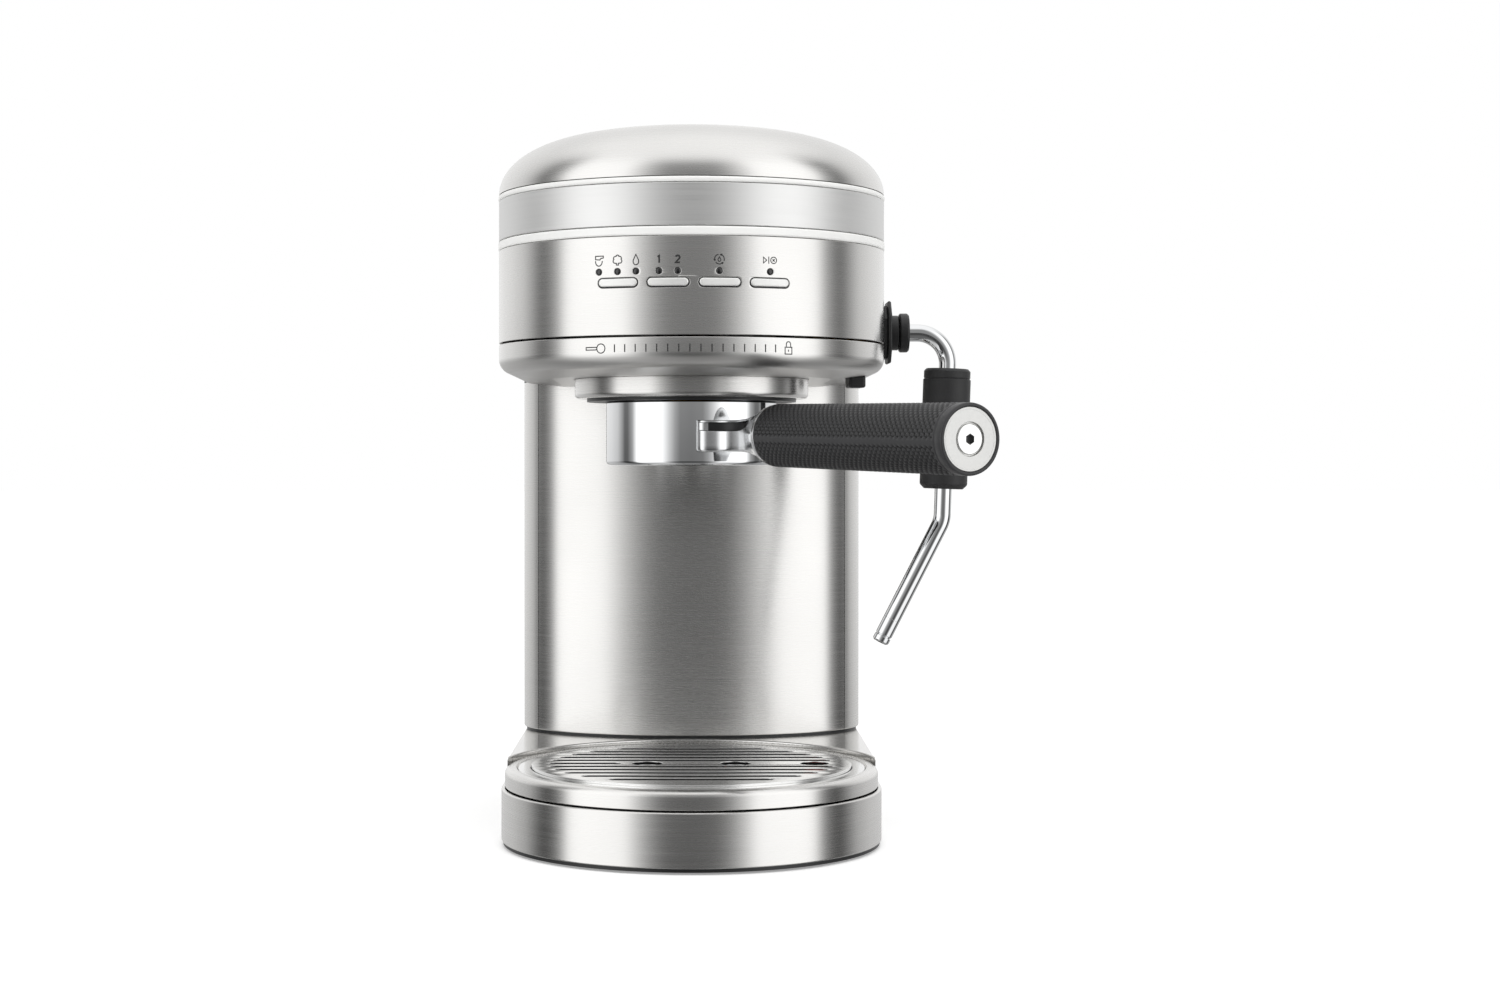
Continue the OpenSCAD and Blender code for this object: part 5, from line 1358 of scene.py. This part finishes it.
class ESPRESSO_OT_tray(bpy.types.Operator):
    """Makes the drip tray: the tub with its bright rim, the slotted grate and the float"""

    bl_idname = "espresso.tray"
    bl_label = "Drip tray"

    def execute(self, context):
        bottom, top = heights("tray_tub")
        tub_r, floor, float_x = high("tray_tub").x, bottom + WALL, middle("tray_float").x
        tub = lathe([
            (0, bottom, 0), (tub_r, bottom, 1.5), (tub_r, top, 0.3), (tub_r - WALL, top, 0.6),
            (tub_r - WALL, floor, 1.5), (0, floor, 0)], 0.3, 160)
        pin = lathe([(0, 0, 0), (1.5, 0, 0), (1.5, 13, 0.5), (0, 13, 0)], 0.3, 24)
        add_piece("tray_tub", joined(tub, moved(pin, at(float_x, 0, floor - 0.01))), "abs", "tray")
        bottom, top = low("tray_rim").z + 0.3, high("tray_rim").z
        ledge_r, ledge_z = 78.8, top - 0.25
        rim = lathe([
            (ledge_r, bottom), (DECK_R, bottom, 0.4), (DECK_R, top, 3.0), (ledge_r, top, 0.8)], 0.3, 192, 6)
        inside = ledge_r - 0.05
        ledge = lathe([(tub_r, bottom), (inside, bottom), (inside, ledge_z), (tub_r, ledge_z)], 0.3, 192)
        add_piece("tray_rim", rim, "steel", "tray")
        add_piece("tray_ledge", ledge, "buffed", "tray")
        self.grate(float_x)
        bottom, top = heights("tray_float")
        button = lathe([
            (1.55, bottom, 0.1), (8, bottom, 0.4), (8, bottom + 3, 0.6), (5, bottom + 3, 0.5), (5, top, 0.8),
            (0, top, 0), (0, bottom + 14.2, 0), (1.55, bottom + 14.2, 0.1)], 0.3, 64)
        add_piece("tray_float", moved(button, at(float_x)), "red", "float")
        return {"FINISHED"}

    def grate(self, float_x):
        """Slotted sheet with a turned-down edge, two drain holes with lips and a hole for the float."""
        top, r = high("drip_grate").z, high("drip_grate").x
        sheet, slot_w, pitch, field = 0.5, 5.6, 10.8, r - 8
        drain_x, drain_r, lip = 20.0, 7.0, 5.0
        drains = (-drain_x, drain_x)
        loops = [circle(r - 0.05, steps=160), circle(6.5, (float_x, 0))]
        loops += [circle(drain_r, (x, 0)) for x in drains]
        for k in range(-5, 6):
            y = pitch * k
            half = math.sqrt(field ** 2 - y ** 2)
            end = half if k else -drain_x - drain_r - lip
            loops.append(pill(end + half, slot_w, ((end - half) / 2, y), 8))
        start, end, inner, outer = low("drip_grate").z + 1.2, top - 0.1, r - 0.7, r - 0.1
        edge = lathe([(inner, start), (outer, start), (outer, end, 0.3), (inner, end)], 0.1, 160)
        parts = [moved(plate(loops, sheet, 0.2, 3), at(z=top - sheet / 2)), edge]
        for x in drains:
            ring = lathe([(drain_r, top - 3.0, 0.4), (drain_r + 1.2, top - 3.0, 0.4),
                          (drain_r + 1.2, top - 1.5, 0.1), (drain_r, top - 1.5, 0.1)], 0.3, 48)
            parts.append(moved(ring, at(x)))
        add_piece("drip_grate", joined(*parts), "buffed", "grate", even=False)


# ---- Water tank ----

def tank_outline(inset):
    """Plan of the tank: two small corners in front and two large ones behind."""
    corner, small = BACK_CORNER - 2, 1.2
    x, y, r = TANK_R - corner, high("water_tank").y - corner, corner - inset
    front_x, front_y = TANK_R - inset - small, TANK_FRONT + inset + small
    return (arc(small, 180, 270, 4, (-front_x, front_y)) + arc(small, 270, 360, 4, (front_x, front_y))
            + arc(r, 0, 90, 24, (x, y)) + arc(r, 90, 180, 24, (-x, y)))


class ESPRESSO_OT_tank(bpy.types.Operator):
    """Makes the clear water tank with its hinge ears, the lid, its pin and the foot valve"""

    bl_idname = "espresso.tank"
    bl_label = "Water tank"

    def execute(self, context):
        wall, bottom, top = 2.5, low("water_tank").z, low("tank_lid").z - 0.3
        pin_y, pin_z = middle("lid_pin").yz
        body = prism(tank_outline(0.02), bottom, top, 0.8)
        hollow = prism(tank_outline(wall), bottom + wall, top + 6, 0.9)
        profile = [(pin_y - 3, top - 12), (pin_y + 3, top - 12)] + arc(2.9, 0, 180, 16, (pin_y, pin_z))
        ears = [moved(prism(profile, -2.5, 2.5, 0.3, 2), at(x) @ FACING_X) for x in (-12, 12)]
        hole = lathe([(0, -1), (3.6, -1), (3.6, 6), (0, 6)], turns=32)
        hole = moved(hole, at(0, middle("tank_valve").y, bottom))
        bore = lathe([(0, -20), (1.25, -20), (1.25, 20), (0, 20)], turns=24)
        bore = moved(bore, at(0, pin_y, pin_z) @ ALONG_X)
        tank = cut(cut(cut(body, hollow), *ears, operation="UNION"), hole, bore)
        add_piece("water_tank", tank, "tank", "tank")
        finish_nodes(tank_lid="abs", lid_pin="buffed", tank_valve="white")
        return {"FINISHED"}


# ---- Mains inlet and inner works ----

class ESPRESSO_OT_inlet(bpy.types.Operator):
    """Makes the mains inlet with its three pins and the power rocker beside it"""

    bl_idname = "espresso.inlet"
    bl_label = "Mains inlet"

    def execute(self, context):
        bottom, top = low("mains_inlet"), high("mains_inlet")
        z = (bottom.z + top.z) / 2
        outline = rounded([
            (bottom.x, bottom.z), (top.x, bottom.z), (top.x, top.z), (bottom.x, top.z)], 2.0, 6)
        front = moved(prism(outline, 0, top.y - BASE_BACK, 0.4), at(0, top.y) @ spun(90, "X"))
        body = block((bottom.x + 2, bottom.y, bottom.z + 1.5), (top.x - 2, BASE_BACK + 0.2, top.z - 1.5))
        socket_x, socket_w, socket_h, depth = 19.0, 26.0, 14.5, 16.0
        socket = block((socket_x - socket_w / 2, top.y - depth, z - socket_h / 2),
                       (socket_x + socket_w / 2, top.y + 2, z + socket_h / 2))
        room = 0.4
        well_r, half = 7.8 + room, (high("power_rocker").x - low("power_rocker").x) / 2 + room
        well = moved(lathe([(0, -half), (well_r, -half), (well_r, half), (0, half)], turns=48),
                     at(middle("power_rocker").x, BASE_BACK - 3, z) @ ALONG_X)
        add_piece("mains_inlet", cut(cut(front, body, operation="UNION"), socket, well), "abs")
        pins = []
        for k in (-1, 0, 1):
            x, pin_z = socket_x + 7 * k, z + 2 * (1 - abs(k))
            pins.append(block((x - 1, top.y - depth - 0.5, pin_z - 2), (x + 1, top.y - 5, pin_z + 2)))
        add_piece("inlet_pins", joined(*pins), "zinc")
        finish_nodes(power_rocker="abs")
        return {"FINISHED"}


class ESPRESSO_OT_works(bpy.types.Operator):
    """Finishes the works inside: pump, heater, valves, meter, hoses and boards keep the frame's shapes"""

    bl_idname = "espresso.works"
    bl_label = "Inner works"

    def execute(self, context):
        finish_nodes(pump="dark_steel", pump_mounts="rubber", heater_block="aluminium",
                     solenoid_valve="dark_steel", flow_meter="white", water_hoses="hose", steam_valve="brass",
                     button_carrier="abs", circuit_boards="board")
        return {"FINISHED"}


# ---- Stage ----

class ESPRESSO_OT_stage(bpy.types.Operator):
    """Sets the camera, the pale floor and the soft studio light"""

    bl_idname = "espresso.stage"
    bl_label = "Stage"

    def execute(self, context):
        scene = context.scene
        scene.view_settings.view_transform = "Standard"
        camera = bpy.data.cameras.new("Camera")
        camera.lens, camera.shift_x, camera.shift_y = 56.7, 0.039, -0.0267
        scene.camera = linked("Camera", camera)
        scene.camera.location = (0, -1.075, 0.174)
        scene.camera.rotation_euler = (math.radians(90), 0, 0)
        self.floor()
        self.studio(scene)
        lamp = bpy.data.lights.new("Overhead", "AREA")
        lamp.shape, lamp.size, lamp.energy = "DISK", 1.1, 9.0
        above = linked("Overhead", lamp)
        above.location = (0.1, -0.35, 1.5)
        above.rotation_euler = (math.radians(-13), 0, 0)
        above.visible_glossy = False
        return {"FINISHED"}

    def floor(self):
        """Matt floor, a little brighter to the camera alone, so that its shadows stay."""
        size, lit = 12.0, 0.3
        mesh = bpy.data.meshes.new("floor")
        corners = [(-size, -size, 0), (size, -size, 0), (size, size, 0), (-size, size, 0)]
        mesh.from_pydata(corners, [], [(0, 1, 2, 3)])
        material, shader, node = start_material("Pale_floor", linear("f2f2f2"), 0.9, 0.0, **{
            "Specular IOR Level": 0.0, "Emission Color": (1, 1, 1, 1)})
        feed(shader, {"Emission Strength": node(MATH, [node(RAYS).outputs["Is Camera Ray"], lit],
                                                operation="MULTIPLY")})
        mesh.materials.append(material)
        floor = linked("floor", mesh)
        floor.visible_glossy = False
        floor.visible_transmission = False

    def studio(self, scene):
        """World light: even for matt surfaces; glossy ones see bright side panels and a dark front."""
        world = scene.world = bpy.data.worlds.new("Studio")
        world.use_nodes = True
        world.node_tree.nodes.clear()
        node = partial(add_node, world.node_tree)
        x, y, z = node(SPLIT, [node(COORDINATES).outputs["Generated"]]).outputs
        behind = node(MATH, [y, -1.0], operation="MULTIPLY")
        angle = node(MATH, [node(MATH, [x], operation="ABSOLUTE"), behind], operation="ARCTAN2")
        ramp = node("ShaderNodeValToRGB", [node(MATH, [angle, math.pi], operation="DIVIDE")])
        # Degrees from the front and the strength of the light there
        stops = ((0, 0.30), (15, 0.33), (22, 0.52), (30, 0.88), (40, 1.42), (78, 1.45), (86, 0.55),
                 (95, 0.22), (101, 0.22), (106, 0.45), (117, 0.8), (135, 0.95), (180, 1.0))
        peak, even, top_light, floor_light = 1.45, 0.85, 1.2, 0.2
        elements = ramp.color_ramp.elements
        elements[0].position, elements[1].position = 0.0, 1.0
        for degrees, _ in stops[1:-1]:
            elements.new(degrees / 180)
        for element, (_, value) in zip(elements, stops):
            element.color = (value / peak, value / peak, value / peak, 1)
        deeper = node(RANGE, [z, -0.16, 0.04, 2.1, 1.0])
        panels = node(MATH, [ramp, deeper], operation="POWER")
        wall = node(MATH, [panels, peak], operation="MULTIPLY")
        with_top = node(MIX, {0: node(RANGE, [z, 0.64, 0.88, 0.0, 1.0]), 2: wall, 3: top_light})
        glossy = node(MIX, {0: node(RANGE, [z, -0.3, -0.7, 0.0, 0.65]), 2: with_top, 3: floor_light})
        rays = node(RAYS).outputs
        matt = node(MIX, {0: rays["Is Glossy Ray"], 2: even, 3: glossy})
        seen = node(MATH, [rays["Is Camera Ray"], rays["Is Transmission Ray"]], operation="MAXIMUM")
        strength = node(MIX, {0: seen, 2: matt, 3: 1.0})
        light = node("ShaderNodeBackground", {"Color": (1, 1, 1, 1), "Strength": strength})
        node("ShaderNodeOutputWorld", [light])


STEPS = (
    ESPRESSO_OT_stage, ESPRESSO_OT_base, ESPRESSO_OT_column, ESPRESSO_OT_head, ESPRESSO_OT_panel,
    ESPRESSO_OT_buttons, ESPRESSO_OT_marks, ESPRESSO_OT_brew_group, ESPRESSO_OT_filter_holder,
    ESPRESSO_OT_handle, ESPRESSO_OT_wand, ESPRESSO_OT_latch, ESPRESSO_OT_tray, ESPRESSO_OT_tank,
    ESPRESSO_OT_inlet, ESPRESSO_OT_works,
)


class ESPRESSO_PT_panel(bpy.types.Panel):
    """Sidebar panel with the settings and one button for each part of the machine"""

    bl_idname = "ESPRESSO_PT_panel"
    bl_label = "Espresso Machine"
    bl_space_type = "VIEW_3D"
    bl_region_type = "UI"
    bl_category = "Espresso"

    def draw(self, context):
        layout = self.layout
        for settings in (context.scene.espresso_finish, context.scene.espresso_detail):
            box = layout.box()
            for name in settings.bl_rna.properties.keys():
                if name not in ("rna_type", "name"):
                    box.prop(settings, name)
        for step in STEPS:
            layout.operator(step.bl_idname)


CLASSES = (EspressoFinish, EspressoDetail) + STEPS + (ESPRESSO_PT_panel,)


def register():
    for cls in CLASSES:
        bpy.utils.register_class(cls)
    bpy.types.Scene.espresso_finish = PointerProperty(type=EspressoFinish)
    bpy.types.Scene.espresso_detail = PointerProperty(type=EspressoDetail)


def unregister():
    del bpy.types.Scene.espresso_detail
    del bpy.types.Scene.espresso_finish
    for cls in reversed(CLASSES):
        bpy.utils.unregister_class(cls)


def main():
    register()
    for step in STEPS:
        area, name = step.bl_idname.split(".")
        getattr(getattr(bpy.ops, area), name)()


if __name__ == "__main__":
    main()
